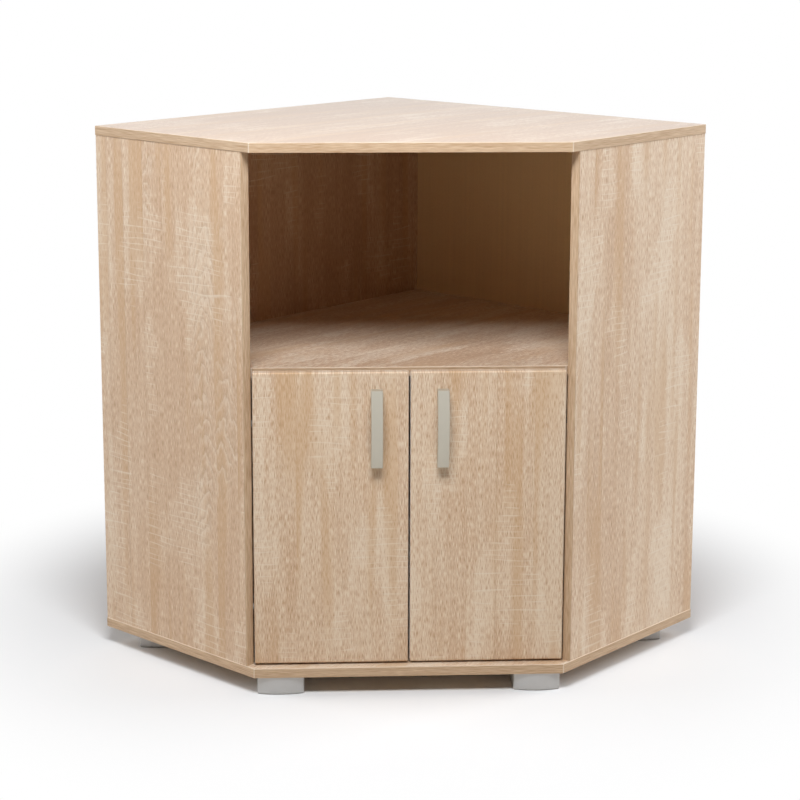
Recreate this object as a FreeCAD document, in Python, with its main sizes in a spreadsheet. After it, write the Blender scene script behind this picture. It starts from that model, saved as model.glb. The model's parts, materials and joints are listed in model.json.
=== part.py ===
import FreeCAD, Part
import math
import os
import Sketcher

# Corner television cabinet in melamine board: an open niche above a cupboard with two inset doors.
# Sizes are millimetres. The part's frame has its origin on the floor below the middle of its box,
# +Z up, and the doors towards -Y.
# The carcass boards are drawn in a corner frame: its origin is the back corner, its X axis follows the
# back edge to the left end and its Y axis the back edge to the right end.

Vector = FreeCAD.Vector
Rotation = FreeCAD.Rotation
Placement = FreeCAD.Placement

# Driving dimensions: name, size and meaning.
DIMENSIONS = [
    ("wall_side", 730, "length of each back edge"),
    ("end_side", 370, "length of each end, from a back edge to the front corner"),
    ("body_height", 880, "carcass without its feet"),
    ("board", 16, "melamine board"),
    ("band", 2, "edge band"),
    ("band_round", 1, "trimmed outer edges of a band"),
    ("overhang", 1, "top and bottom past the side panels"),
    ("side_setback", 18, "side panel's front edge behind the front corner"),
    ("service_gap", 60, "space behind the left back panel"),
    ("hardboard", 3, "right back board"),
    ("hardboard_margin", 4, "right back board inside the carcass outline"),
    ("cupboard_height", 480, "clear height behind the doors"),
    ("shelf_gap", 7, "door's back to the shelf's front edge"),
    ("door_thick", 16, "door"),
    ("door_setback", 16, "door's face behind the bottom panel's front edge"),
    ("door_gap", 3, "gap below, above and between the doors"),
    ("door_inset", 1, "door's outer edge inside the front corner"),
    ("door_round", 3, "softened edges of a door"),
    ("handle_length", 128, "bow handle"),
    ("handle_width", 19, "bow handle"),
    ("handle_rise", 24, "middle of the bow above the door"),
    ("handle_end", 14, "ends of the bow above the door"),
    ("handle_bow", 4.5, "thickness of the bow in its middle"),
    ("handle_grip", 84, "length of the finger gap at the door"),
    ("handle_round", 1.2, "edges of the handle"),
    ("handle_spacing", 96, "between the handle's screws"),
    ("handle_drop", 28, "door's top to the handle's top"),
    ("handle_margin", 52, "door's free edge to the handle's middle"),
    ("handle_thread", 10, "depth of the threaded hole"),
    ("hinge_margin", 90, "door's end to a hinge"),
    ("pin_edge", 11, "door's outer edge to the hinge pin"),
    ("pin_back", 7.5, "door's back to the hinge pin"),
    ("pin_radius", 1.5, "hinge pin"),
    ("pin_play", 0.05, "running clearance round the pin"),
    ("eye_radius", 2.8, "eye of the hinge arm"),
    ("cup_radius", 17.4, "hinge cup outside"),
    ("cup_depth", 11.9, "hinge cup in the door"),
    ("cup_wall", 1, "hinge cup"),
    ("cup_edge", 3, "door's outer edge to the cup bore"),
    ("cup_play", 0.1, "cup to its bore"),
    ("flange", 1, "cup flange on the door's back"),
    ("flange_rim", 1.6, "flange past the cup"),
    ("wing_length", 62, "cup flange from wing to wing"),
    ("wing_width", 14, "cup flange wing"),
    ("lug_thick", 4, "lugs in the cup that hold the pin"),
    ("lug_width", 5, "lugs in the cup"),
    ("lug_play", 1, "arm to lug"),
    ("arm_thick", 2, "hinge arm"),
    ("arm_width", 10, "hinge arm"),
    ("arm_angle", 22, "arm's first run from the door's plane, in degrees"),
    ("arm_reach", 25, "arm's first run"),
    ("arm_neck", 6, "radius of the arm's neck"),
    ("arm_elbow", 6, "radius of the arm's elbow"),
    ("arm_tail", 16, "arm past the plate's middle"),
    ("plate_front", 37, "side panel's front edge to the plate's screws"),
    ("plate_height", 10, "arm above the side panel"),
    ("plate_length", 36, "plate along the arm"),
    ("plate_wing", 2.5, "plate wing"),
    ("plate_wing_width", 13, "plate wing"),
    ("plate_span", 46, "plate from wing to wing"),
    ("plate_spacing", 32, "between the plate's screws"),
    ("foot_height", 30, "foot"),
    ("foot_width", 77, "foot"),
    ("foot_depth", 68, "foot, with its bulge"),
    ("foot_bulge", 6, "curved front of a foot"),
    ("foot_round", 3, "edges of a foot"),
    ("foot_wall", 3, "foot shell"),
    ("foot_floor", 4, "foot shell's floor"),
    ("foot_boss", 6, "radius of a screw boss"),
    ("foot_spacing", 40, "between a foot's screws"),
    ("foot_recess", 14, "screw head above the floor"),
    ("foot_front", 2, "front feet behind the front edge"),
    ("foot_outer", 5, "front feet inside the front corner"),
    ("foot_corner", 97, "other feet from their corner to their middle"),
    ("bore_play", 0.1, "radial clearance of a fastener in its bore"),
    ("end_play", 0.5, "clearance at the end of a blind bore"),
    ("cam_radius", 7.4, "cam lock"),
    ("cam_height", 12.4, "cam lock"),
    ("cam_reach", 34, "joint to the cam's middle"),
    ("bolt_thread", 2.4, "radius of a cam bolt's thread"),
    ("bolt_bite", 11, "cam bolt in the board's face"),
    ("bolt_radius", 3, "cam bolt"),
    ("bolt_end", 100, "panel's end to a cam bolt"),
    ("shelf_bolt_end", 60, "shelf's corner to a cam bolt"),
    ("back_bolt_end", 150, "back panel's end to a cam bolt in its edge"),
    ("dowel_radius", 4, "dowel"),
    ("dowel_face", 12, "dowel in the top panel"),
    ("dowel_edge", 20, "dowel in an upright panel"),
    ("dowel_end", 32, "panel's end to a dowel"),
    ("confirmat_radius", 3.4, "confirmat screw"),
    ("confirmat_length", 50, "confirmat screw with its head"),
    ("confirmat_head", 4.9, "radius of the head"),
    ("confirmat_head_height", 4, "head"),
    ("confirmat_end", 60, "panel's end to a confirmat screw"),
    ("brad_radius", 0.9, "brad"),
    ("brad_length", 20, "brad"),
    ("brad_end", 120, "back board's edge to the first brad"),
    ("handle_screw_radius", 2, "handle screw"),
    ("handle_screw_length", 26, "handle screw with its head"),
    ("handle_screw_head", 4, "radius of the head"),
    ("handle_screw_head_height", 2.4, "head"),
    ("cup_screw_radius", 1.7, "hinge cup screw"),
    ("cup_screw_length", 13, "hinge cup screw with its head"),
    ("cup_screw_head", 3.4, "radius of the head"),
    ("cup_screw_head_height", 2, "head"),
    ("cup_screw_spacing", 48, "between a cup's screws"),
    ("plate_screw_radius", 2.5, "hinge plate screw"),
    ("plate_screw_length", 15, "hinge plate screw with its head"),
    ("plate_screw_head", 4.5, "radius of the head"),
    ("plate_screw_head_height", 2, "head"),
    ("arm_screw_radius", 2, "hinge arm screw"),
    ("arm_screw_length", 10, "hinge arm screw with its head"),
    ("arm_screw_head", 3.8, "radius of the head"),
    ("arm_screw_head_height", 2, "head"),
    ("foot_screw_radius", 2, "foot screw"),
    ("foot_screw_length", 30, "foot screw with its head"),
    ("foot_screw_head", 4, "radius of the head"),
    ("foot_screw_head_height", 2.4, "head"),
]

ROOT_TWO = math.sqrt(2)
SAME_PLACE = 0.01
UP = Vector(0, 0, 1)
DOWN = Vector(0, 0, -1)

document = FreeCAD.newDocument("corner_cabinet")
sheet = document.addObject("Spreadsheet::Sheet", "Dim")
nodes = []
bores = {}


def fill_sheet():
    """One row for each driving dimension, with its name as the alias."""
    for row, (name, number, meaning) in enumerate(DIMENSIONS, 1):
        sheet.set(f"A{row}", meaning)
        sheet.set(f"B{row}", str(number))
        sheet.setAlias(f"B{row}", name)
    document.recompute()


def size(expression):
    """The value of an expression of sheet cells."""
    return float(sheet.evalExpression(expression))


fill_sheet()

# Places that several pieces share.
half_width = size("Dim.wall_side") / ROOT_TWO
half_front = size("Dim.wall_side - Dim.end_side") / ROOT_TWO
plan_depth = size("Dim.wall_side + Dim.end_side") / ROOT_TWO
handle_reach = max(size("Dim.handle_rise - Dim.door_setback"), 0)
front_y = (handle_reach - plan_depth) / 2
back_y = front_y + plan_depth
CORNER = Placement(Vector(0, back_y, 0), Rotation(UP, -135))

BOTTOM_TOP = "Dim.foot_height + Dim.board"
TOP_UNDER = "Dim.foot_height + Dim.body_height - Dim.board"
PANEL_HEIGHT = "Dim.body_height - 2 * Dim.board"
SHELF_UNDER = f"{BOTTOM_TOP} + Dim.cupboard_height"
INNER = "Dim.wall_side - Dim.overhang - Dim.board"
END_DEPTH = "Dim.end_side - Dim.side_setback"
BACK_FACE = "Dim.service_gap + Dim.board"
SHELF_DEPTH = "Dim.door_setback + Dim.door_thick + Dim.shelf_gap"
SHELF_SUM = f"(Dim.wall_side + Dim.end_side - sqrt(2) * ({SHELF_DEPTH}))"
DOOR_HEIGHT = "Dim.cupboard_height + Dim.board - 2 * Dim.door_gap"
DOOR_WIDTH = "(Dim.wall_side - Dim.end_side) / sqrt(2) - Dim.door_inset - Dim.door_gap / 2"

upright_mid = size("Dim.wall_side - Dim.overhang - Dim.board / 2")
back_mid = size("Dim.service_gap + Dim.board / 2")
shelf_mid = size(f"{SHELF_UNDER} + Dim.board / 2")
door_left = -half_front + size("Dim.door_inset")
door_face = front_y + size("Dim.door_setback")
door_back = door_face + size("Dim.door_thick")
door_base = size(f"{BOTTOM_TOP} + Dim.door_gap")
door_top = door_base + size(DOOR_HEIGHT)
pin_x = door_left + size("Dim.pin_edge")
pin_y = door_back - size("Dim.pin_back")
hinge_levels = {
    "lower": door_base + size("Dim.hinge_margin"),
    "upper": door_top - size("Dim.hinge_margin"),
}


# Helpers for building.


def keep(part, label, placement=None):
    """Names a finished sub-part, moves it into its place and puts it on the list of nodes."""
    part.Label = label
    if placement is not None:
        part.Placement = placement.multiply(part.Placement)
    nodes.append(part)
    return part


def bind(part, **expressions):
    """Ties properties of a part to expressions of sheet cells."""
    for name, expression in expressions.items():
        part.setExpression(name, expression)
    return part


def box(name, length, width, height, corner):
    """A box with its low corner at a point."""
    part = document.addObject("Part::Box", name)
    part.Placement = Placement(corner, Rotation())
    return bind(part, Length=length, Width=width, Height=height)


def cylinder(name, radius, height, start, direction):
    """A cylinder from a point along a direction."""
    part = document.addObject("Part::Cylinder", name)
    part.Placement = Placement(start, Rotation(UP, direction))
    return bind(part, Radius=radius, Height=height)


def group(name, parts):
    """Several solids as one object."""
    part = document.addObject("Part::Compound", name)
    part.Links = parts
    return part


def fuse(name, parts):
    """Several solids as one solid."""
    part = document.addObject("Part::MultiFuse", name)
    part.Shapes = parts
    return part


def cut(name, blank, tools):
    """A blank without its tools."""
    part = document.addObject("Part::Cut", name)
    part.Base = blank
    part.Tool = group(name + "_tools", tools)
    return part


def mirror(label, source):
    """The right-hand twin of a left-hand piece."""
    part = document.addObject("Part::Mirroring", label)
    part.Source = source
    part.Base = Vector(0, 0, 0)
    part.Normal = Vector(1, 0, 0)
    return keep(part, label)


def origin_plane(body, role):
    """One of a body's own origin planes."""
    return next(plane for plane in body.Origin.OriginFeatures if plane.Role == role)


def new_sketch(body, name, role):
    """An empty sketch on one of a body's origin planes."""
    sketch = body.newObject("Sketcher::SketchObject", name)
    sketch.AttachmentSupport = (origin_plane(body, role), [""])
    sketch.MapMode = "FlatFace"
    return sketch


def dimension(sketch, constraint, expression):
    """Adds a constraint and ties its size to the sheet."""
    index = sketch.addConstraint(constraint)
    sketch.setExpression(f"Constraints[{index}]", expression)


def outline(body, name, corners, role="XY_Plane", arcs=None):
    """A closed sketch through corners, which are pairs of expressions.

    arcs maps a side's number to its middle point and its radius; every other side is straight."""
    arcs = arcs or {}
    sketch = new_sketch(body, name, role)
    points = [Vector(size(x), size(y), 0) for x, y in corners]
    ends = []
    for side, start in enumerate(points):
        finish = points[(side + 1) % len(points)]
        edge = Part.LineSegment(start, finish)
        if side in arcs:
            middle, radius = arcs[side]
            edge = Part.Arc(start, Vector(size(middle[0]), size(middle[1]), 0), finish)
        sketch.addGeometry(edge)
        forward = sketch.getPoint(side, 1).isEqual(start, 0.001)
        ends.append((1, 2) if forward else (2, 1))
    for side, (first, last) in enumerate(ends):
        following = (side + 1) % len(points)
        sketch.addConstraint(Sketcher.Constraint("Coincident", side, last, following, ends[following][0]))
        for kind, expression in zip(("DistanceX", "DistanceY"), corners[side]):
            dimension(sketch, Sketcher.Constraint(kind, -1, 1, side, first, size(expression)), expression)
    for side, (middle, radius) in arcs.items():
        dimension(sketch, Sketcher.Constraint("Radius", side, size(radius)), radius)
    return sketch


def pad(body, sketch, length, symmetric=False):
    """Raises a sketch to a length, to one side or to both."""
    feature = body.newObject("PartDesign::Pad", sketch.Name + "_pad")
    feature.Profile = sketch
    feature.SideType = "Symmetric" if symmetric else "One side"
    return bind(feature, Length=length)


def prism(name, corners, height, base):
    """A board of any outline, raised from a height above the floor."""
    body = document.addObject("PartDesign::Body", name)
    pad(body, outline(body, name + "_outline", corners), height)
    body.Placement = Placement(Vector(0, 0, base), Rotation())
    return body


def round_edges(body, radius, chosen):
    """Rounds the edges of a body's last feature that a test picks."""
    document.recompute()
    tip = body.Tip
    names = [f"Edge{number}" for number, edge in enumerate(tip.Shape.Edges, 1) if chosen(edge.BoundBox)]
    fillet = body.newObject("PartDesign::Fillet", body.Name + "_round")
    fillet.Base = (tip, names)
    return bind(fillet, Radius=radius)


def arc_radius(chord, rise):
    """The radius of an arc, from its chord and its rise."""
    return f"(({chord})^2 / 4 + ({rise})^2) / (2 * ({rise}))"


# Fasteners and the bores that they need.


def bore(panel, name, radius, depth, start, direction, play="Dim.bore_play"):
    """A hole for a fastener, wider than it by the play."""
    tool = cylinder(f"{panel}_{name}", f"{radius} + {play}", depth, start, direction)
    bores.setdefault(panel, []).append(tool)


def drilled(label, blank, placement=None):
    """A board with the bores that its fasteners asked for."""
    return keep(cut(label, blank, bores[label]), label, placement)


def screw(kind, start, direction):
    """A headed screw, from the outer face of its head."""
    head = cylinder(kind + "_cap", f"Dim.{kind}_head", f"Dim.{kind}_head_height", start, direction)
    shank = cylinder(kind + "_shank", f"Dim.{kind}_radius", f"Dim.{kind}_length", start, direction)
    return fuse(kind, [head, shank])


def cam_joint(point, run, inward, face_panel, edge_panel):
    """A cam lock and its bolt: the bolt stands in a board's face and runs into another board's edge.

    inward points from the cam's open face into its board."""
    bolt = fuse("cam_bolt", [
        cylinder("bolt_thread", "Dim.bolt_thread", "Dim.bolt_bite", point, run * -1),
        cylinder("bolt_shank", "Dim.bolt_radius", "Dim.cam_reach", point, run),
    ])
    bore(face_panel, "bolt", "Dim.bolt_thread", "Dim.bolt_bite + Dim.end_play", point, run * -1)
    bore(edge_panel, "bolt", "Dim.bolt_radius", "Dim.cam_reach", point, run, "2 * Dim.bore_play")
    middle = point + run * size("Dim.cam_reach")
    mouth = middle - inward * size("Dim.board / 2")
    blank = cylinder("cam_blank", "Dim.cam_radius", "Dim.cam_height", mouth, inward)
    notch_start = middle + run * size("Dim.bolt_radius")
    notch_radius = "Dim.bolt_radius + 2 * Dim.bore_play"
    notch = cylinder("cam_notch", notch_radius, "2 * Dim.cam_radius", notch_start, run * -1)
    bore(edge_panel, "cam", "Dim.cam_radius", "Dim.cam_height + Dim.end_play", mouth, inward)
    return cut("cam_lock", blank, [notch]), bolt


def dowel_joint(point, edge_panel):
    """A dowel between the top panel and an upright panel."""
    bore("top_panel", "dowel", "Dim.dowel_radius", "Dim.dowel_face + Dim.end_play", point, UP)
    bore(edge_panel, "dowel", "Dim.dowel_radius", "Dim.dowel_edge + Dim.end_play", point, DOWN)
    foot = point - UP * size("Dim.dowel_edge")
    return cylinder("dowel", "Dim.dowel_radius", "Dim.dowel_face + Dim.dowel_edge", foot, UP)


def confirmat_joint(point, edge_panel):
    """A confirmat screw from below the bottom panel into an upright panel."""
    bore("bottom_panel", "head", "Dim.confirmat_head", "Dim.confirmat_head_height", point, UP)
    bore("bottom_panel", "shank", "Dim.confirmat_radius", "Dim.board", point, UP)
    top = point + UP * size("Dim.board")
    depth = "Dim.confirmat_length - Dim.board + Dim.end_play"
    bore(edge_panel, "confirmat", "Dim.confirmat_radius", depth, top, UP)
    return screw("confirmat", point, UP)


def brad_joint(y, z, edge_panel):
    """A brad through the right back board into the edge of a panel."""
    inward = Vector(1, 0, 0)
    outside = Vector(-size("Dim.hardboard"), y, z)
    bore("right_back_board", "brad", "Dim.brad_radius", "Dim.hardboard", outside, inward)
    depth = "Dim.brad_length - Dim.hardboard + Dim.end_play"
    bore(edge_panel, "brad", "Dim.brad_radius", depth, Vector(0, y, z), inward)
    return cylinder("brad", "Dim.brad_radius", "Dim.brad_length", outside, inward)


def both_ends(length, margin):
    """Two places along a length, one a margin from each end."""
    return size(margin), size(f"{length} - ({margin})")


def upright_lines():
    """Each upright panel with its length and a function from a place along it to a point in plan."""
    yield "left_side_panel", END_DEPTH, lambda along: (upright_mid, along)
    yield "right_side_panel", END_DEPTH, lambda along: (along, upright_mid)
    yield "left_back_panel", INNER, lambda along: (along, back_mid)


def carcass_joints():
    """Every fastener that holds the boards together, in the corner frame."""
    cams, dowels, confirmats = [], [], []
    top_under, floor = size(TOP_UNDER), size("Dim.foot_height")
    faces = {
        "left_side_panel": Vector(1, 0, 0),
        "right_side_panel": Vector(0, 1, 0),
        "left_back_panel": Vector(0, 1, 0),
    }
    for panel, length, plan in upright_lines():
        for along in both_ends(length, "Dim.bolt_end"):
            cams.append(cam_joint(Vector(*plan(along), top_under), DOWN, faces[panel], "top_panel", panel))
        for along in both_ends(length, "Dim.dowel_end"):
            dowels.append(dowel_joint(Vector(*plan(along), top_under), panel))
        for along in both_ends(length, "Dim.confirmat_end"):
            confirmats.append(confirmat_joint(Vector(*plan(along), floor), panel))
    inner = size(INNER)
    shelf_front = f"{SHELF_SUM} - ({INNER}) - Dim.shelf_bolt_end"
    for along in (size(f"{BACK_FACE} + Dim.shelf_bolt_end"), size(shelf_front)):
        point = Vector(inner, along, shelf_mid)
        cams.append(cam_joint(point, Vector(-1, 0, 0), UP, "left_side_panel", "middle_shelf"))
    for along in (size("Dim.shelf_bolt_end"), size(shelf_front)):
        point = Vector(along, inner, shelf_mid)
        cams.append(cam_joint(point, Vector(0, -1, 0), UP, "right_side_panel", "middle_shelf"))
    for rise in both_ends(PANEL_HEIGHT, "Dim.back_bolt_end"):
        point = Vector(inner, back_mid, size(BOTTOM_TOP) + rise)
        cams.append(cam_joint(point, Vector(-1, 0, 0), Vector(0, 1, 0), "left_side_panel", "left_back_panel"))
    keep(group("cam_locks", [lock for lock, bolt in cams]), "cam_locks", CORNER)
    keep(group("cam_bolts", [bolt for lock, bolt in cams]), "cam_bolts", CORNER)
    keep(group("dowels", dowels), "dowels", CORNER)
    keep(group("confirmat_screws", confirmats), "confirmat_screws", CORNER)


def back_board_brads():
    """Brads round the right back board and along the shelf, in the corner frame."""
    brads = []
    low, high = both_ends("Dim.wall_side", "Dim.brad_end")
    levels = {
        "top_panel": size(f"{TOP_UNDER} + Dim.board / 2"),
        "bottom_panel": size("Dim.foot_height + Dim.board / 2"),
        "middle_shelf": shelf_mid,
    }
    for panel, z in levels.items():
        for y in (low, (low + high) / 2, high):
            brads.append(brad_joint(y, z, panel))
    for panel, y in (("left_back_panel", back_mid), ("right_side_panel", upright_mid)):
        for rise in both_ends(PANEL_HEIGHT, "Dim.brad_end"):
            brads.append(brad_joint(y, size(BOTTOM_TOP) + rise, panel))
    keep(group("back_board_brads", brads), "back_board_brads", CORNER)


# Carcass boards.

CORE_SIDE = "Dim.wall_side - Dim.band"
CORE_END = "Dim.end_side + Dim.band - Dim.band * sqrt(2)"
BAND_END = "Dim.end_side - Dim.band * sqrt(2)"
PANEL_CORE = [("0", "0"), (CORE_SIDE, "0"), (CORE_SIDE, CORE_END), (CORE_END, CORE_SIDE), ("0", CORE_SIDE)]
PANEL_BANDS = {
    "left": [(CORE_SIDE, "0"), ("Dim.wall_side", "0"), ("Dim.wall_side", BAND_END), (CORE_SIDE, CORE_END)],
    "front": [("Dim.wall_side", BAND_END), ("Dim.wall_side", "Dim.end_side"),
              ("Dim.end_side", "Dim.wall_side"), (BAND_END, "Dim.wall_side")],
    "right": [("0", CORE_SIDE), (CORE_END, CORE_SIDE), (BAND_END, "Dim.wall_side"), ("0", "Dim.wall_side")],
}


def band_strip(name, corners, height, base, trimmed):
    """An edge band whose outer edges, picked by a test, are trimmed round."""
    strip = prism(name, corners, height, base)
    round_edges(strip, "Dim.band_round", trimmed)
    return strip


def level_at_front(span, forward):
    """Whether an edge is level and lies on a front line, where the distances along both back edges add up."""
    return span.ZLength < SAME_PLACE and span.Center.x + span.Center.y > size(forward) - SAME_PLACE


def on_panel_outline(span):
    """Whether an edge is level and lies on one of the three visible sides of the top or bottom panel."""
    level = span.ZLength < SAME_PLACE
    at_end = level and max(span.XMin, span.YMin) > size("Dim.wall_side") - SAME_PLACE
    return at_end or level_at_front(span, "Dim.wall_side + Dim.end_side")


def upright_at_front(span):
    """Whether an edge is upright and lies on the front face of a side panel's band."""
    return span.ZLength > SAME_PLACE and min(span.XMin, span.YMin) > size(END_DEPTH) - SAME_PLACE


def five_sided_panel(label, base):
    """The top or the bottom panel, and the bands on its three visible edges."""
    drilled(label, prism(label + "_blank", PANEL_CORE, "Dim.board", base), CORNER)
    edge = label.replace("panel", "edge")
    bands = [
        band_strip(f"{edge}_{side}", corners, "Dim.board", base, on_panel_outline)
        for side, corners in PANEL_BANDS.items()
    ]
    keep(group(edge + "_bands", bands), edge + "_bands", CORNER)


def side_panels():
    """The two upright ends and the bands on their front edges."""
    base = size(BOTTOM_TOP)
    core = f"{END_DEPTH} - Dim.band"
    inner = size(INNER)
    left = box("left_blank", "Dim.board", core, PANEL_HEIGHT, Vector(inner, 0, base))
    right = box("right_blank", core, "Dim.board", PANEL_HEIGHT, Vector(0, inner, base))
    drilled("left_side_panel", left, CORNER)
    drilled("right_side_panel", right, CORNER)
    outer = f"{INNER} + Dim.board"
    strip = [(INNER, core), (outer, core), (outer, END_DEPTH), (INNER, END_DEPTH)]
    twin = [(y, x) for x, y in strip]
    bands = [
        band_strip("left_band", strip, PANEL_HEIGHT, base, upright_at_front),
        band_strip("right_band", twin, PANEL_HEIGHT, base, upright_at_front),
    ]
    keep(group("side_panel_bands", bands), "side_panel_bands", CORNER)


def back_panels():
    """The decor board behind the left of the niche and the hardboard behind its right."""
    base = Vector(0, size("Dim.service_gap"), size(BOTTOM_TOP))
    drilled("left_back_panel", box("back_blank", INNER, "Dim.board", PANEL_HEIGHT, base), CORNER)
    margin = size("Dim.hardboard_margin")
    corner = Vector(-size("Dim.hardboard"), margin, size("Dim.foot_height") + margin)
    width = "Dim.wall_side - 2 * Dim.hardboard_margin"
    height = "Dim.body_height - 2 * Dim.hardboard_margin"
    drilled("right_back_board", box("hardboard_blank", "Dim.hardboard", width, height, corner), CORNER)


def middle_shelf():
    """The floor of the niche, cut to the inside of the carcass, and the band on its front edge."""
    core = f"({SHELF_SUM} - Dim.band * sqrt(2))"
    board_front = f"{core} - ({INNER})"
    band_front = f"{SHELF_SUM} - ({INNER})"
    corners = [("0", BACK_FACE), (INNER, BACK_FACE), (INNER, board_front), (board_front, INNER), ("0", INNER)]
    base = size(SHELF_UNDER)
    drilled("middle_shelf", prism("shelf_blank", corners, "Dim.board", base), CORNER)
    strip = [(INNER, board_front), (INNER, band_front), (band_front, INNER), (board_front, INNER)]
    band = band_strip("shelf_edge_band", strip, "Dim.board", base,
                      lambda span: level_at_front(span, SHELF_SUM))
    keep(band, "shelf_edge_band", CORNER)


# Doors and handles.


def handle_middle():
    """The left handle's middle on the door's face."""
    x = -size("(Dim.door_gap / 2) + Dim.handle_margin")
    z = door_top - size("Dim.handle_drop + Dim.handle_length / 2")
    return Vector(x, door_face, z)


def door_blank():
    """The left door: a board whose face edges and corners are softened."""
    body = document.addObject("PartDesign::Body", "left_door_blank")
    corners = [("0", "0"), (DOOR_WIDTH, "0"), (DOOR_WIDTH, DOOR_HEIGHT), ("0", DOOR_HEIGHT)]
    pad(body, outline(body, "door_outline", corners, "XZ_Plane"), "Dim.door_thick")
    thickness = size("Dim.door_thick")
    round_edges(body, "Dim.door_round", lambda span: span.YMax - span.YMin > thickness / 2 or
                span.YMax < thickness / 2 - thickness)
    body.Placement = Placement(Vector(door_left, door_back, door_base), Rotation())
    return body


def doors():
    """Both doors, with their cup bores and screw holes."""
    left = drilled("left_door", door_blank())
    mirror("right_door", left)


def handle():
    """A bow handle: an arched bar on two legs, drawn from the side and as wide as the bar."""
    body = document.addObject("PartDesign::Body", "left_handle_blank")
    half, grip = "Dim.handle_length / 2", "Dim.handle_grip / 2"
    corners = [("0", f"-{half}"), ("-Dim.handle_end", f"-{half}"), ("-Dim.handle_end", half), ("0", half),
               ("0", grip), ("0", f"-{grip}")]
    inside = "Dim.handle_rise - Dim.handle_bow"
    arcs = {
        1: (("-Dim.handle_rise", "0"), arc_radius("Dim.handle_length", "Dim.handle_rise - Dim.handle_end")),
        4: ((f"-({inside})", "0"), arc_radius("Dim.handle_grip", inside)),
    }
    pad(body, outline(body, "handle_profile", corners, "YZ_Plane", arcs), "Dim.handle_width", True)
    front = -size("Dim.handle_end") / 2
    round_edges(body, "Dim.handle_round", lambda span: span.YMax < front or span.YMin < front and
                span.XMax - span.XMin < 1)
    body.Placement = Placement(handle_middle(), Rotation())
    return body


def handles():
    """Both handles and the screws that hold them through the doors."""
    screws = []
    middle = handle_middle()
    for level in (-1, 1):
        seat = middle + UP * (level * size("Dim.handle_spacing / 2"))
        head = Vector(seat.x, door_back + size("Dim.handle_screw_head_height"), seat.z)
        back = Vector(seat.x, door_back, seat.z)
        forward = Vector(0, -1, 0)
        screws.append(screw("handle_screw", head, forward))
        bore("left_door", "handle_screw", "Dim.handle_screw_radius", "Dim.door_thick", back, forward)
        bore("left_handle", "handle_screw", "Dim.handle_screw_radius", "Dim.handle_thread", seat, forward)
    left = drilled("left_handle", handle())
    mirror("right_handle", left)
    left_screws = keep(group("left_handle_screws", screws), "left_handle_screws")
    mirror("right_handle_screws", left_screws)


# Hinges: each has a cup in the door, and an arm that runs from the pin in the cup, out of its mouth and
# round to a plate on the angled side panel.


def hinge_frame():
    """Where the side panel's inner face is, seen from the pin: its front edge along it, and its distance."""
    edge = CORNER.multVec(Vector(size(INNER), size(END_DEPTH), 0)) - Vector(pin_x, pin_y, 0)
    along = (edge.y - edge.x) / ROOT_TWO
    across = -(edge.x + edge.y) / ROOT_TWO
    return along, across


def bent_strip(heading, runs, thickness):
    """The edges round a flat strip bent along runs, which are (length, 0) or (radius, turn).

    The heading and the turns are in degrees."""
    place = Vector(0, 0, 0)
    left = Rotation(UP, heading).multVec(Vector(0, thickness / 2, 0))
    edges = [Part.LineSegment(place - left, place + left)]
    for reach, turn in runs:
        start = place
        if turn:
            centre = start + left * (math.copysign(reach, turn) / left.Length)
            spokes = [Rotation(UP, turn * share).multVec(start - centre) for share in (0, 0.5, 1)]
            place = centre + spokes[-1]
            for side in (1, -1):
                stretch = 1 - side * left.Length / math.copysign(reach, turn)
                edges.append(Part.Arc(*[centre + spoke * stretch for spoke in spokes]))
        else:
            place = start + Rotation(UP, -90).multVec(left) * (reach / left.Length)
            for side in (1, -1):
                edges.append(Part.LineSegment(start + left * side, place + left * side))
        left = Rotation(UP, turn).multVec(left)
    edges.append(Part.LineSegment(place - left, place + left))
    return edges


def arm_runs():
    """The crank of a hinge arm: out of the cup, round the neck, along the door and onto the plate."""
    start = math.radians(size("Dim.arm_angle"))
    reach, neck, elbow = size("Dim.arm_reach"), size("Dim.arm_neck"), size("Dim.arm_elbow")
    neck_x = reach * math.cos(start) - neck * math.sin(start)
    neck_y = reach * math.sin(start) + neck * (math.cos(start) + 1)
    along, across = hinge_frame()
    offset = size("Dim.plate_height + Dim.arm_thick / 2") - across
    bend_x = offset * ROOT_TWO - neck_y
    tangent = elbow * math.tan(math.radians(45) / 2)
    bend_along = (neck_y - bend_x) / ROOT_TWO
    tail = along + size("Dim.plate_front + Dim.arm_tail") - bend_along - tangent
    return [
        (reach, 0),
        (neck, 180 - size("Dim.arm_angle")),
        (neck_x - bend_x - tangent, 0),
        (elbow, -45),
        (tail, 0),
    ]


PLATE_TURN = Rotation(UP, 135)
PIN_LENGTH = "(Dim.arm_width + 2 * (Dim.lug_play + Dim.lug_thick))"
CUP_OFFSET = "Dim.cup_edge + Dim.cup_radius + Dim.cup_play - Dim.pin_edge"


def plate_place(z):
    """The frame of a hinge plate: X along the side panel to the back, Y into the panel."""
    return Placement(Vector(pin_x, pin_y, z), PLATE_TURN)


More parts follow.
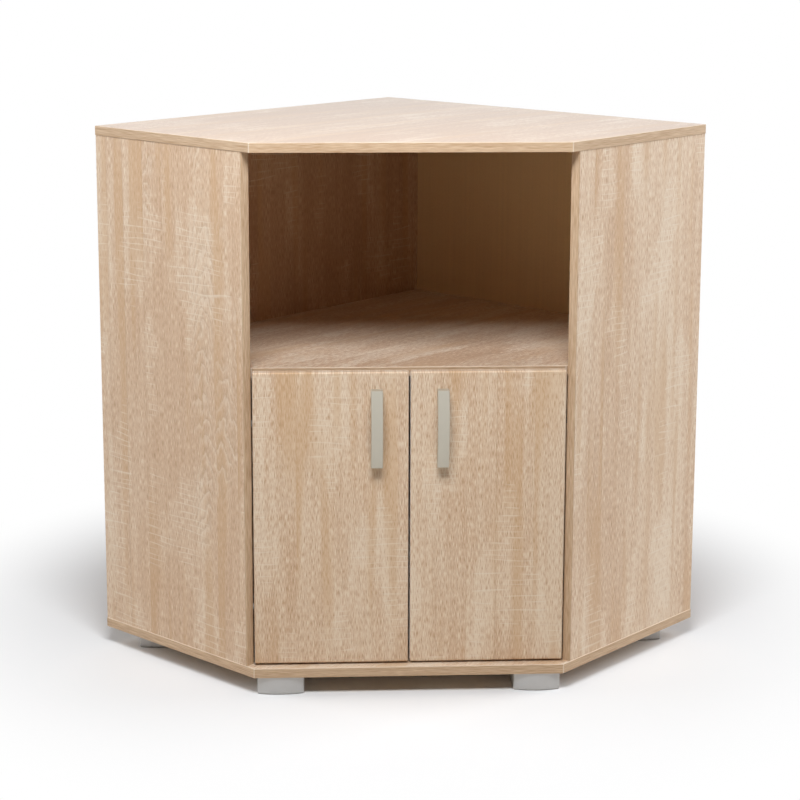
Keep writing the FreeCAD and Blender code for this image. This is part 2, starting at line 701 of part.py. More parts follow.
def hinge_arm(name, z):
    """The cranked arm with its eye, placed on the pin."""
    body = document.addObject("PartDesign::Body", name + "_bar")
    sketch = new_sketch(body, name + "_crank", "XY_Plane")
    for edge in bent_strip(size("Dim.arm_angle"), arm_runs(), size("Dim.arm_thick")):
        sketch.addGeometry(edge)
    pad(body, sketch, "Dim.arm_width", True)
    low = Vector(0, 0, -size("Dim.arm_width / 2"))
    eye = cylinder(name + "_eye", "Dim.eye_radius", "Dim.arm_width", low, UP)
    pin_hole = cylinder(name + "_pin_hole", "Dim.pin_radius + Dim.pin_play", "Dim.arm_width", low, UP)
    along, across = hinge_frame()
    outer = across - size("Dim.plate_height + Dim.arm_thick")
    top = PLATE_TURN.multVec(Vector(along + size("Dim.plate_front"), outer, 0))
    inward = PLATE_TURN.multVec(Vector(0, 1, 0))
    slot = cylinder(name + "_slot", "Dim.arm_screw_radius + Dim.bore_play", "Dim.arm_thick", top, inward)
    blank = fuse(name + "_blank", [body, eye])
    return keep(cut(name, blank, [pin_hole, slot]), name, Placement(Vector(pin_x, pin_y, z), Rotation()))


def hinge_plate(name, z):
    """The winged plate that carries the arm, screwed to the side panel."""
    along, across = hinge_frame()
    middle = along + size("Dim.plate_front")
    half_arm = size("Dim.arm_width / 2")
    riser_corner = Vector(middle - size("Dim.plate_length / 2"), across - size("Dim.plate_height"), -half_arm)
    riser = box(name + "_riser", "Dim.plate_length", "Dim.plate_height", "Dim.arm_width", riser_corner)
    wing_corner = Vector(middle - size("Dim.plate_wing_width / 2"), across - size("Dim.plate_wing"),
                         -size("Dim.plate_span / 2"))
    wings = box(name + "_wings", "Dim.plate_wing_width", "Dim.plate_wing", "Dim.plate_span", wing_corner)
    into = Vector(0, 1, 0)
    riser_top = Vector(middle, across - size("Dim.plate_height"), 0)
    thread_radius = "Dim.arm_screw_radius + Dim.bore_play"
    hole_radius = "Dim.plate_screw_radius + Dim.bore_play"
    tools = [cylinder(name + "_thread", thread_radius, "Dim.plate_height", riser_top, into)]
    for level in (-1, 1):
        seat = Vector(middle, across - size("Dim.plate_wing"), level * size("Dim.plate_spacing / 2"))
        tools.append(cylinder(name + "_hole", hole_radius, "Dim.plate_wing", seat, into))
    return keep(cut(name, fuse(name + "_blank", [riser, wings]), tools), name, plate_place(z))


def hinge_cup(name, z):
    """The cup with its winged flange, and two lugs on its floor that hold the pin."""
    x = size(CUP_OFFSET)
    floor = -size("Dim.cup_depth")
    middle = Vector(x, 0, floor)
    shell = cylinder(name + "_shell", "Dim.cup_radius", "Dim.cup_depth + Dim.flange", middle, UP)
    rim = cylinder(name + "_rim", "Dim.cup_radius + Dim.flange_rim", "Dim.flange", Vector(x, 0, 0), UP)
    wing_corner = Vector(x - size("Dim.wing_width / 2"), -size("Dim.wing_length / 2"), 0)
    wings = box(name + "_wings", "Dim.wing_width", "Dim.wing_length", "Dim.flange", wing_corner)
    mouth_start = middle + UP * size("Dim.cup_wall")
    mouth_radius = "Dim.cup_radius - Dim.cup_wall"
    mouth = cylinder(name + "_mouth", mouth_radius, "Dim.cup_depth + Dim.flange", mouth_start, UP)
    dish = cut(name + "_dish", fuse(name + "_outside", [shell, rim, wings]), [mouth])
    lug_height = "Dim.cup_depth - Dim.pin_back + Dim.eye_radius"
    lug_x = -size("Dim.lug_width / 2")
    lugs = []
    for y in (size("Dim.arm_width / 2 + Dim.lug_play"), -size(f"{PIN_LENGTH} / 2")):
        lugs.append(box(name + "_lug", "Dim.lug_width", "Dim.lug_thick", lug_height, Vector(lug_x, y, floor)))
    pin_start = Vector(0, -size(f"{PIN_LENGTH} / 2"), -size("Dim.pin_back"))
    pin_hole_radius = "Dim.pin_radius + Dim.pin_play"
    tools = [cylinder(name + "_pin_hole", pin_hole_radius, PIN_LENGTH, pin_start, Vector(0, 1, 0))]
    for side in (-1, 1):
        seat = Vector(x, side * size("Dim.cup_screw_spacing / 2"), 0)
        tools.append(cylinder(name + "_hole", "Dim.cup_screw_radius + Dim.bore_play", "Dim.flange", seat, UP))
    frame = Placement(Vector(pin_x, door_back, z), Rotation(Vector(1, 0, 0), -90))
    return keep(cut(name, fuse(name + "_blank", [dish] + lugs), tools), name, frame)


def hinge_pin(name, z):
    """The pin, through both lugs of the cup."""
    low = Vector(pin_x, pin_y, z - size(f"{PIN_LENGTH} / 2"))
    return keep(cylinder(name, "Dim.pin_radius", PIN_LENGTH, low, UP), name)


def hinge_screws(z):
    """The screws of one hinge: two in the cup's wings, two in the plate's wings and one in the arm."""
    forward = Vector(0, -1, 0)
    cup_x = pin_x + size(CUP_OFFSET)
    along, across = hinge_frame()
    middle = along + size("Dim.plate_front")
    frame = plate_place(z)
    into = frame.Rotation.multVec(Vector(0, 1, 0))
    cups, plates = [], []
    cup_mouth = Vector(cup_x, door_back, z)
    cup_bore_depth = "Dim.cup_depth + Dim.cup_play"
    bore("left_door", "cup", "Dim.cup_radius", cup_bore_depth, cup_mouth, forward, "Dim.cup_play")
    for level in (-1, 1):
        seat = cup_mouth + UP * (level * size("Dim.cup_screw_spacing / 2"))
        cap = seat - forward * size("Dim.flange + Dim.cup_screw_head_height")
        cups.append(screw("cup_screw", cap, forward))
        depth = "Dim.cup_screw_length - Dim.cup_screw_head_height - Dim.flange + Dim.end_play"
        bore("left_door", "cup_screw", "Dim.cup_screw_radius", depth, seat, forward)
        rise = level * size("Dim.plate_spacing / 2")
        cap_depth = across - size("Dim.plate_wing + Dim.plate_screw_head_height")
        plates.append(screw("plate_screw", frame.multVec(Vector(middle, cap_depth, rise)), into))
        plate_screw_bores(z + rise)
    top = across - size("Dim.plate_height + Dim.arm_thick + Dim.arm_screw_head_height")
    arm = screw("arm_screw", frame.multVec(Vector(middle, top, 0)), into)
    return cups, plates, arm


def plate_screw_bores(z):
    """The holes for one hinge plate screw, at the same place in both side panels."""
    depth = "Dim.plate_screw_length - Dim.plate_screw_head_height - Dim.plate_wing + Dim.end_play"
    along, inner = size(f"{END_DEPTH} - Dim.plate_front"), size(INNER)
    places = {
        "left_side_panel": (Vector(inner, along, z), Vector(1, 0, 0)),
        "right_side_panel": (Vector(along, inner, z), Vector(0, 1, 0)),
    }
    for panel, (seat, into) in places.items():
        bore(panel, "plate_screw", "Dim.plate_screw_radius", depth, seat, into)


def hinges():
    """Two hinges for each door, with their screws."""
    pieces = {"cup": hinge_cup, "pin": hinge_pin, "arm": hinge_arm, "plate": hinge_plate}
    cup_screws, plate_screws, arm_screws = [], [], []
    for level, z in hinge_levels.items():
        for piece, make in pieces.items():
            left = make(f"left_{level}_hinge_{piece}", z)
            mirror(f"right_{level}_hinge_{piece}", left)
        cups, plates, arm = hinge_screws(z)
        cup_screws += cups
        plate_screws += plates
        arm_screws.append(arm)
    for label, screws in (("cup", cup_screws), ("plate", plate_screws), ("arm", arm_screws)):
        left = keep(group(f"left_hinge_{label}_screws", screws), f"left_hinge_{label}_screws")
        mirror(f"right_hinge_{label}_screws", left)


# Feet.


def foot_places():
    """Each foot's name and the middle of its base."""
    front_x = half_front - size("Dim.foot_outer + Dim.foot_width / 2")
    front = front_y + size("Dim.foot_front + Dim.foot_depth / 2")
    side_x = half_width - size("Dim.foot_corner")
    side = back_y - half_width
    yield "front_left_foot", Vector(-front_x, front, 0)
    yield "front_right_foot", Vector(front_x, front, 0)
    yield "left_end_foot", Vector(-side_x, side, 0)
    yield "right_end_foot", Vector(side_x, side, 0)
    yield "back_corner_foot", Vector(0, back_y - size("Dim.foot_corner"), 0)


def foot_blank(name):
    """The foot's outside: a block with a curved front and rounded front and lower edges."""
    body = document.addObject("PartDesign::Body", name)
    half, deep = "Dim.foot_width / 2", "Dim.foot_depth / 2"
    shoulder = f"-({deep} - Dim.foot_bulge)"
    corners = [(f"-{half}", shoulder), (half, shoulder), (half, deep), (f"-{half}", deep)]
    arcs = {0: (("0", f"-{deep}"), arc_radius("Dim.foot_width", "Dim.foot_bulge"))}
    pad(body, outline(body, name + "_outline", corners, "XY_Plane", arcs), "Dim.foot_height")
    low, back = size("Dim.foot_height") / 2, size("Dim.foot_depth") / 2
    round_edges(body, "Dim.foot_round", lambda span: span.YMin < back - 1 and
                (span.ZMax < low or span.ZMax - span.ZMin > low))
    return body


def foot(label, middle):
    """A moulded foot: a shell open to the bottom panel, with two screw bosses. Returns its screws."""
    left = -size("Dim.foot_width / 2 - Dim.foot_wall")
    front = -size("Dim.foot_depth / 2 - Dim.foot_bulge - Dim.foot_wall")
    hollow = box(label + "_hollow", "Dim.foot_width - 2 * Dim.foot_wall",
                 "Dim.foot_depth - Dim.foot_bulge - 2 * Dim.foot_wall", "Dim.foot_height",
                 Vector(left, front, size("Dim.foot_floor")))
    shell = cut(label + "_shell", foot_blank(label + "_block"), [hollow])
    bosses, holes, screws = [], [], []
    recess = size("Dim.foot_recess")
    for side in (-1, 1):
        axis = Vector(side * size("Dim.foot_spacing / 2"), 0, 0)
        bosses.append(cylinder(label + "_boss", "Dim.foot_boss", "Dim.foot_height", axis, UP))
        shank_radius, head_radius = (f"Dim.foot_screw_{part} + Dim.bore_play" for part in ("radius", "head"))
        head_top = "Dim.foot_recess + Dim.foot_screw_head_height"
        holes.append(cylinder(label + "_hole", shank_radius, "Dim.foot_height", axis, UP))
        holes.append(cylinder(label + "_recess", head_radius, head_top, axis, UP))
        screws.append(screw("foot_screw", middle + axis + UP * recess, UP))
        under = CORNER.inverse().multVec(middle + axis + UP * size("Dim.foot_height"))
        depth = "Dim.foot_recess + Dim.foot_screw_length - Dim.foot_height + Dim.end_play"
        bore("bottom_panel", "foot_screw", "Dim.foot_screw_radius", depth, under, UP)
    blank = fuse(label + "_blank", [shell] + bosses)
    keep(cut(label, blank, holes), label, Placement(middle, Rotation()))
    return screws


def feet():
    """Five feet and their screws."""
    screws = []
    for label, middle in foot_places():
        screws += foot(label, middle)
    keep(group("foot_screws", screws), "foot_screws")


def build():
    """Fasteners first, because they ask for the bores in the boards."""
    carcass_joints()
    back_board_brads()
    feet()
    hinges()
    handles()
    five_sided_panel("top_panel", size(TOP_UNDER))
    five_sided_panel("bottom_panel", size("Dim.foot_height"))
    side_panels()
    back_panels()
    middle_shelf()
    doors()
    document.recompute()


def check():
    """Stops on any object that failed and on any sub-part that is empty or not valid."""
    for part in document.Objects:
        if "Invalid" in part.State or "Error" in part.State:
            raise RuntimeError(f"{part.Label} failed: {part.State}")
    for part in nodes:
        if part.Shape.isNull() or not part.Shape.isValid() or not part.Shape.Solids:
            raise RuntimeError(f"{part.Label} is not a valid solid")


def write():
    """Writes each sub-part to a file of its own name."""
    os.makedirs("parts", exist_ok=True)
    for part in nodes:
        part.Shape.exportStep(f"parts/{part.Label}.step")


build()
check()
write()
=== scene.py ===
import json
import math

import bpy
import numpy as np
from mathutils import Matrix, Vector

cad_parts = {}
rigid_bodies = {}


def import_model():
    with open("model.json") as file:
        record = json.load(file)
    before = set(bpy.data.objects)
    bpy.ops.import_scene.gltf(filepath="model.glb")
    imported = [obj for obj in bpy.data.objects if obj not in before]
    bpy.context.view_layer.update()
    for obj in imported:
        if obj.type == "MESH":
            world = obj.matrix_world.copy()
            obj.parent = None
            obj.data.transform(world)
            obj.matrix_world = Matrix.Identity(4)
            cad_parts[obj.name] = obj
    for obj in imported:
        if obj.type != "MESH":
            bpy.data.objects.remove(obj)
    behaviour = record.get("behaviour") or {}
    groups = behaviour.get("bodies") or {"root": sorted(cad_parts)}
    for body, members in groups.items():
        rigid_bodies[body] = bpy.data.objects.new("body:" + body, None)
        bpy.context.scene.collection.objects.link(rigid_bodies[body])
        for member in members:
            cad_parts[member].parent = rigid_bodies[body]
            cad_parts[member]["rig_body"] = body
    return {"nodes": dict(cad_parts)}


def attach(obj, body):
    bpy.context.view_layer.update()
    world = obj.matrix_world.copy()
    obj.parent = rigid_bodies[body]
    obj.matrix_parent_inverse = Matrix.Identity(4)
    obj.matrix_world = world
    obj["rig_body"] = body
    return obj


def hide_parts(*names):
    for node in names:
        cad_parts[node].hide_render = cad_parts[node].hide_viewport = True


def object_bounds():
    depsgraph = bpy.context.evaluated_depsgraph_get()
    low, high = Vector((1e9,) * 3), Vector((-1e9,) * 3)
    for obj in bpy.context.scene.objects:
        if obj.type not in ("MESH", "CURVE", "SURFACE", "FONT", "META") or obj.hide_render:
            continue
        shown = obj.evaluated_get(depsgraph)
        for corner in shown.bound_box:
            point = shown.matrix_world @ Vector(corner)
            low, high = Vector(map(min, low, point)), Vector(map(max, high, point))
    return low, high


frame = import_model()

bl_info = {
    "name": "Corner television cabinet",
    "version": (1, 0, 0),
    "blender": (4, 5, 0),
    "location": "View3D > Sidebar > Cabinet",
    "description": "Oak print boards, satin fittings, cross-head screws and a pale studio for the cabinet",
    "category": "Object",
}

CAD_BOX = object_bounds()
UP = np.array([0.0, 0.0, 1.0])
SQUARE_ROOT_HALF = math.sqrt(0.5)
TO_BACK_RIGHT = np.array([SQUARE_ROOT_HALF, SQUARE_ROOT_HALF, 0.0])
TO_FRONT_RIGHT = np.array([SQUARE_ROOT_HALF, -SQUARE_ROOT_HALF, 0.0])
TO_RIGHT = np.array([1.0, 0.0, 0.0])
TO_BACK = np.array([0.0, 1.0, 0.0])
SOFT = {"interpolation_type": "SMOOTHSTEP"}

# How far a board's seed moves its print across and along the grain, and a stave's print along it, in metres
SEED_STEPS = (1.7, 0.9)
STAVE_SHIFT = 5.0

# Tone of an unlifted board, and what the weighted parts of its tone come to on average
PLAIN_TONE, PARTS_MEAN = 0.53, 2.65

# Where a mark starts and is full in the value that places it, and how strongly it then shows
SAW_PATCH = {"From Min": 0.5, "From Max": 0.62}
SAW_LINE = {"From Min": 0.74, "From Max": 0.94, "To Max": 0.55}
SAW_BREAK = {"From Min": 0.38, "From Max": 0.56}
HONEY_BAND = {"From Min": 0.5, "From Max": 0.7, "To Max": 0.5}
FIGURED_STAVE = {"From Min": 1.46, "From Max": 1.62}
ARCH_LINE = {"From Min": 0.55, "From Max": 0.95, "To Max": 0.36}
ARCH_HOLLOW = {"From Min": 0.5, "From Max": 0.0, "To Max": 0.28}
PORE_MARK = {"From Min": 0.40, "From Max": 0.20, "To Max": 0.45}
STAVE_SEAM = {"From Min": 0.9, "From Max": 0.3, "To Max": 0.3}
PALE_CHIP = {"From Min": 0.35, "From Max": 0.65}
# A band's faces turned upwards get a painted highlight, paler as light from above would show them; the share
# is how much of the pale colour the seams and this painted highlight take
PAINTED_ARRIS_HIGHLIGHT = {"From Min": 0.2, "From Max": 0.8}
SEAM_AND_HIGHLIGHT_SHARE = 0.6

# A surface is a cut edge where its cosine to the board's face is below the first of these, and is the bare
# side of the hardboard where its cosine to the wall's direction is above the second
CUT_TURN, BARE_TURN = 0.6, -0.5

# Grits across one broad cloud of a speckled finish
CLOUD_GRITS = 20

# Where the floor's shadow lies, and how far from there it fades to white, in metres
SHADOW_MIDDLE = (-0.01, 0.05, 0.0)
SHADOW_FADE = {"From Min": 0.45, "From Max": 0.95}
FLOOR_HALF, FLOOR_POINTS = 40.0, 3

# A screw's dome, recess depth, recess reach, recess width and thread depth, as shares of its head or shank
DOME, RECESS_DEPTH, RECESS_REACH, RECESS_WIDTH, THREAD_DEPTH = 0.45, 0.6, 0.62, 0.16, 0.18

# A flat head's level part, bevel height, slot reach and slot width, and a cam's slot depth, as shares
LEVEL_PART, BEVEL_HEIGHT, SLOT_REACH, SLOT_WIDTH = 0.96, 0.6, 0.6, 0.12
CAM_SLOT_DEPTH = 0.9

# Shares of a recess's width and reach over which its walls slope
WIDTH_SLOPE, REACH_SLOPE = 0.35, 0.3

# Corners this near to an extreme, in metres, lie on it, and those past this share of the radius lie on a rim
NEAR = 0.0001
RIM_SHARE = 0.95
SHARP_EDGE = math.radians(40)


# Settings


def linear(code):
    """An sRGB hex colour as three linear values."""
    srgb = np.array([int(code[i:i + 2], 16) for i in (0, 2, 4)]) / 255
    return tuple(np.where(srgb <= 0.04045, srgb / 12.92, ((srgb + 0.055) / 1.055) ** 2.4).tolist())


def colour(name, description, code):
    """A colour setting whose default is an sRGB hex value."""
    return bpy.props.FloatVectorProperty(name=name, description=description, default=linear(code),
                                         subtype="COLOR", size=3, min=0, max=1)


def length(name, description, millimetres):
    """A length setting whose default is given in millimetres."""
    return bpy.props.FloatProperty(name=name, description=description, default=millimetres / 1000,
                                   unit="LENGTH", min=0)


def share(name, description, default):
    """A setting from 0 to 1."""
    return bpy.props.FloatProperty(name=name, description=description, default=default,
                                   subtype="FACTOR", min=0, max=1)


def level(name, description, default):
    """A lamp's brightness, where 1 shows a colour as it is written on a face turned to the lamp."""
    return bpy.props.FloatProperty(name=name, description=description, default=default, min=0)


class CabinetBoardSettings(bpy.types.PropertyGroup):
    """The oak print of the boards, doors and bands."""

    dark: colour("Dark stave", "Darkest stave of the print", "BF9A7A")
    middle: colour("Middle stave", "Usual stave of the print", "D7B89A")
    pale: colour("Pale stave", "Palest stave of the print", "EEDDC8")
    honey: colour("Honey", "Yellower wood along some staves", "CFA97E")
    pore: colour("Pore", "Short dark pores and seams along the grain", "AF8C68")
    # This pale colour is also the painted highlight on the bands' upward faces, and their seams
    pale_mark_and_highlight: colour("Saw mark", "Pale arches of the figure and marks that a saw left", "F0E4D5")
    band_dark: colour("Band, dark", "Dark grain of an edge band", "B99979")
    band_pale: colour("Band, pale", "Pale grain of an edge band", "DDC5A9")
    hardboard: colour("Hardboard", "Lacquered face of the right back board", "F6DDAF")
    raw_hardboard: colour("Raw hardboard", "Bare fibre on its wall side", "A98158")
    roller_line: length("Roller line", "Across one line of the hardboard's lacquer", 6)
    roller_reach: length("Roller reach", "Along one line of the hardboard's lacquer", 500)
    speck_width: length("Speck width", "Across one speck of fibre in the hardboard", 2)
    speck_length: length("Speck length", "Along one speck of fibre in the hardboard", 4)
    fibre_clump: length("Fibre clump", "Across one clump of fibre on the bare side", 6)
    screen: length("Screen", "From one wire to the next in the screen's print", 4)
    chip_dark: colour("Chip, dark", "Dark chips on a cut edge", "9A7A54")
    chip_pale: colour("Chip, pale", "Pale chips on a cut edge", "D3B68D")
    stave: length("Stave width", "Usual width of a stave in the print", 55)
    figure: length("Figure pitch", "From one arch of the figure to the next", 34)
    grain_width: length("Grain width", "Across one streak of grain", 5)
    grain_length: length("Grain length", "Along one streak of grain", 220)
    pore_width: length("Pore width", "Across one pore", 1.0)
    pore_length: length("Pore length", "Along one pore", 12)
    saw_pitch: length("Saw mark pitch", "From one saw mark to the next", 10)
    saw_reach: length("Saw mark length", "Along one saw mark, across the grain", 80)
    band_seam: length("Band seam", "Pale line where two bands meet, to each side", 0.9)
    chip: length("Chip size", "Across one chip on a cut edge", 2.5)
    roughness: share("Roughness", "Gloss of the melamine, lower is glossier", 0.40)
    sheen: share("Sheen", "Pale veil that the fine embossing shows at a low angle", 0.6)


class CabinetFittingSettings(bpy.types.PropertyGroup):
    """The metal and plastic fittings."""

    handle: colour("Handle", "Satin lacquered zinc of the handles", "C2BDB0")
    foot: colour("Foot", "Silver plastic of the feet", "C2C3C4")
    nickel: colour("Hinge", "Nickel plating of the hinges", "C9C6C0")
    zinc: colour("Screws", "Zinc plating of the screws", "BFC3C6")
    cast: colour("Cam locks", "Raw die-cast zinc", "A9A9A8")
    beech: colour("Dowels", "Beech", "C79F73")
    beech_width: length("Beech grain width", "Across one streak of grain in a dowel", 1.2)
    beech_length: length("Beech grain length", "Along one streak of grain in a dowel", 12)
    thread_pitch: length("Thread pitch", "From one turn of a screw's thread to the next", 2)
    cam_rim: length("Cam rim", "Cam lock's rim past its bore", 0.7)
    cam_rise: length("Cam rise", "Cam lock's rim above the board", 0.6)
    brad_rim: length("Brad rim", "Brad's head past its shank", 1.1)
    brad_rise: length("Brad rise", "Brad's head above the back board", 0.5)


class CabinetStageSettings(bpy.types.PropertyGroup):
    """The camera, the lamps and the floor."""

    eye: bpy.props.FloatVectorProperty(name="Eye", description="Where the camera stands", size=3,
                                       default=(-0.1847, -3.5814, 1.2733), subtype="XYZ", unit="LENGTH")
    heading: bpy.props.FloatProperty(name="Heading", description="Camera's turn to the right",
                                     default=0.0523, subtype="ANGLE")
    dip: bpy.props.FloatProperty(name="Dip", description="Camera's turn downwards",
                                 default=0.1914, subtype="ANGLE")
    roll: bpy.props.FloatProperty(name="Roll", description="Camera's turn about its own view",
                                  default=0.0032, subtype="ANGLE")
    lens: bpy.props.FloatProperty(name="Lens", description="Focal length on a 36 mm sensor, in millimetres",
                                  default=92.52, min=1)
    rise: bpy.props.FloatProperty(name="Rise", description="Lens shift that keeps the uprights upright",
                                  default=-0.12)
    key: level("Key lamp", "Soft box above the front", 0.89)
    left: level("Left lamp", "Tall soft box at the left", 0.38)
    right: level("Right lamp", "Tall soft box at the right", 0.58)
    back: level("Back lamp", "Wide soft box behind the cabinet", 0.13)
    floor: colour("Floor", "Pale floor", "F3F5F8")
    bounce: colour("Floor bounce", "Colour of the light that the floor throws back on the cabinet", "DED2C2")


# Node helper


def add_node(tree, kind, inputs=(), **settings):
    """Adds one node with its settings; an input is a number or colour, or the socket that it is linked to."""
    made = tree.nodes.new(kind)
    for name, value in settings.items():
        setattr(made, name, value)
    for key, value in dict(inputs).items():
        if isinstance(value, bpy.types.NodeSocket):
            tree.links.new(value, made.inputs[key])
        else:
            made.inputs[key].default_value = value
    return made


def opaque(rgb):
    """A colour with full alpha, as colour sockets take it."""
    return (*rgb, 1.0)


def new_material(name):
    """An empty node material and its surface shader."""
    material = bpy.data.materials.new(name)
    material.use_nodes = True
    tree = material.node_tree
    tree.nodes.clear()
    shader = add_node(tree, "ShaderNodeBsdfPrincipled")
    add_node(tree, "ShaderNodeOutputMaterial", {"Surface": shader.outputs[0]})
    return material, tree, shader


# Materials


def board_place(tree, across, along, seed):
    """Distances across and along the grain of a board, in metres, moved on by a seed."""
    place = add_node(tree, "ShaderNodeTexCoord").outputs["Object"]
    sockets = []
    for direction, step in zip((across, along), SEED_STEPS):
        dot = add_node(tree, "ShaderNodeVectorMath", {0: place, 1: tuple(direction)}, operation="DOT_PRODUCT")
        moved = add_node(tree, "ShaderNodeMath", {0: dot.outputs["Value"], 1: seed * step}, operation="ADD")
        sockets.append(moved.outputs[0])
    return sockets


def streaks(tree, across, along, width, reach, detail):
    """Noise drawn out along the grain: one streak is about a width across and a reach long."""
    scaled = []
    for place, size in ((across, width), (along, reach)):
        scaled.append(add_node(tree, "ShaderNodeMath", {0: place, 1: size}, operation="DIVIDE").outputs[0])
    point = add_node(tree, "ShaderNodeCombineXYZ", {0: scaled[0], 1: scaled[1]})
    noise = add_node(tree, "ShaderNodeTexNoise", {"Vector": point.outputs[0], "Scale": 1.0, "Detail": detail},
                     noise_dimensions="2D")
    return noise.outputs[0]


def weighted_sum(tree, terms, start):
    """A start value plus each term times its weight."""
    total = start
    for value, weight in terms:
        total = add_node(tree, "ShaderNodeMath", {0: value, 1: weight, 2: total},
                         operation="MULTIPLY_ADD").outputs[0]
    return total


def sawn_oak_melamine(name, look, across, along, seed, lift, contrast, figure, wrapped):
    """Melamine board printed with sawn oak: bands of differing tone, pores, arched figure and saw marks.

    The print lies under a thin matt resin, so the eye sees low contrast, no depth and a soft sheen. A board
    with a lift is a paler one, and on some boards the lift also stands for painted light and painted shade;
    its contrast spreads the tones, and its figure says how strongly the arches show. A wrapped board has the
    print on its edges too, and the others show raw chips there. Broad streaks are measured in staves. Pores
    on real oak are a third as wide, and are drawn coarser so that they show."""
    material, tree, shader = new_material(name)
    u, v = board_place(tree, across, along, seed)
    cell = add_node(tree, "ShaderNodeMath", {0: u, 1: look.stave}, operation="DIVIDE").outputs[0]
    stave = add_node(tree, "ShaderNodeTexVoronoi", {"W": cell, "Scale": 1.0}, voronoi_dimensions="1D")
    blend = add_node(tree, "ShaderNodeTexVoronoi", {"W": cell, "Scale": 1.0, "Smoothness": 0.6},
                     voronoi_dimensions="1D", feature="SMOOTH_F1")
    seam = add_node(tree, "ShaderNodeTexVoronoi", {"W": cell, "Scale": 1.0}, voronoi_dimensions="1D",
                    feature="DISTANCE_TO_EDGE")
    chance = add_node(tree, "ShaderNodeSeparateColor", {0: stave.outputs["Color"]})
    own_tone = add_node(tree, "ShaderNodeSeparateColor", {0: blend.outputs["Color"]}).outputs["Red"]
    v_stave = add_node(tree, "ShaderNodeMath", {0: chance.outputs["Green"], 1: STAVE_SHIFT, 2: v},
                       operation="MULTIPLY_ADD").outputs[0]

    # Patches that the saw has scratched, a little paler than the rest.
    scratched = streaks(tree, u, v, 1.2 * look.stave, 4 * look.stave, 2)
    patch = add_node(tree, "ShaderNodeMapRange", {"Value": scratched, **SAW_PATCH}, **SOFT).outputs[0]

    # Tone: each stave has its own, broken up by bands, long grain, short fibres and broad clouds.
    band = streaks(tree, u, v_stave, 0.3 * look.stave, 6 * look.stave, 1)
    grain = streaks(tree, u, v_stave, look.grain_width, look.grain_length, 4)
    fibre = streaks(tree, u, v_stave, look.pore_width, look.pore_length, 2)
    cloud = streaks(tree, u, v_stave, 2 * look.stave, 5 * look.stave, 2)
    parts = ((own_tone, 0.4), (band, 0.5), (grain, 0.7), (fibre, 3.0), (cloud, 0.6), (patch, 0.25))
    tone = weighted_sum(tree, [(value, contrast * weight) for value, weight in parts],
                        PLAIN_TONE + lift - PARTS_MEAN * contrast)
    ramp = add_node(tree, "ShaderNodeValToRGB", {0: tone})
    ramp.color_ramp.elements[0].color = opaque(look.dark)
    ramp.color_ramp.elements[1].color = opaque(look.pale)
    ramp.color_ramp.elements.new(0.5).color = opaque(look.middle)

    # Some staves have yellower bands along the grain.
    stripe = streaks(tree, u, v_stave, 0.6 * look.stave, 10 * look.stave, 1)
    yellow = add_node(tree, "ShaderNodeMapRange", {"Value": stripe, **HONEY_BAND}, **SOFT)
    tinted = add_node(tree, "ShaderNodeMix", {"Factor": yellow.outputs[0], 6: ramp.outputs[0],
                                              7: opaque(look.honey)}, data_type="RGBA")

    # Figure: nested wavy arches in some staves, each a pale line with a darker wood below it.
    heart = add_node(tree, "ShaderNodeMath", {0: cell, 1: stave.outputs["W"]},
                     operation="SUBTRACT").outputs[0]
    bend = add_node(tree, "ShaderNodeMath", {0: heart, 1: heart}, operation="MULTIPLY").outputs[0]
    wander = streaks(tree, u, v_stave, look.stave, 3 * look.stave, 2)
    curl = streaks(tree, u, v_stave, 0.3 * look.stave, 0.8 * look.stave, 2)
    turns = weighted_sum(tree, [(v_stave, 1 / look.figure), (wander, 4.0), (curl, 1.6), (bend, 6.0),
                                (fibre, 0.4)], 0.0)
    wave = add_node(tree, "ShaderNodeMath", {0: turns}, operation="FRACT").outputs[0]
    chosen = weighted_sum(tree, [(cloud, 1.2), (chance.outputs["Blue"], 1.0)], 0.0)
    figured = add_node(tree, "ShaderNodeMapRange", {"Value": chosen, "To Max": figure, **FIGURED_STAVE},
                       **SOFT)
    arch = add_node(tree, "ShaderNodeMapRange", {"Value": wave, **ARCH_LINE}, **SOFT)
    below = add_node(tree, "ShaderNodeMapRange", {"Value": wave, **ARCH_HOLLOW}, **SOFT)
    arches, hollows = [add_node(tree, "ShaderNodeMath", {0: line.outputs[0], 1: figured.outputs[0]},
                                operation="MULTIPLY").outputs[0] for line in (arch, below)]

    # Dark marks: pores, the seams between some staves and the hollows of the figure.
    pores = add_node(tree, "ShaderNodeMapRange", {"Value": fibre, **PORE_MARK}, **SOFT).outputs[0]
    edge = weighted_sum(tree, [(seam.outputs["Distance"], 40.0), (chance.outputs["Blue"], 1.0)], 0.0)
    seams = add_node(tree, "ShaderNodeMapRange", {"Value": edge, **STAVE_SEAM}, **SOFT).outputs[0]
    dark = pores
    for other in (seams, hollows):
        dark = add_node(tree, "ShaderNodeMath", {0: dark, 1: other}, operation="MAXIMUM").outputs[0]
    stained = add_node(tree, "ShaderNodeMix", {"Factor": dark, 6: tinted.outputs[2], 7: opaque(look.pore)},
                       data_type="RGBA")

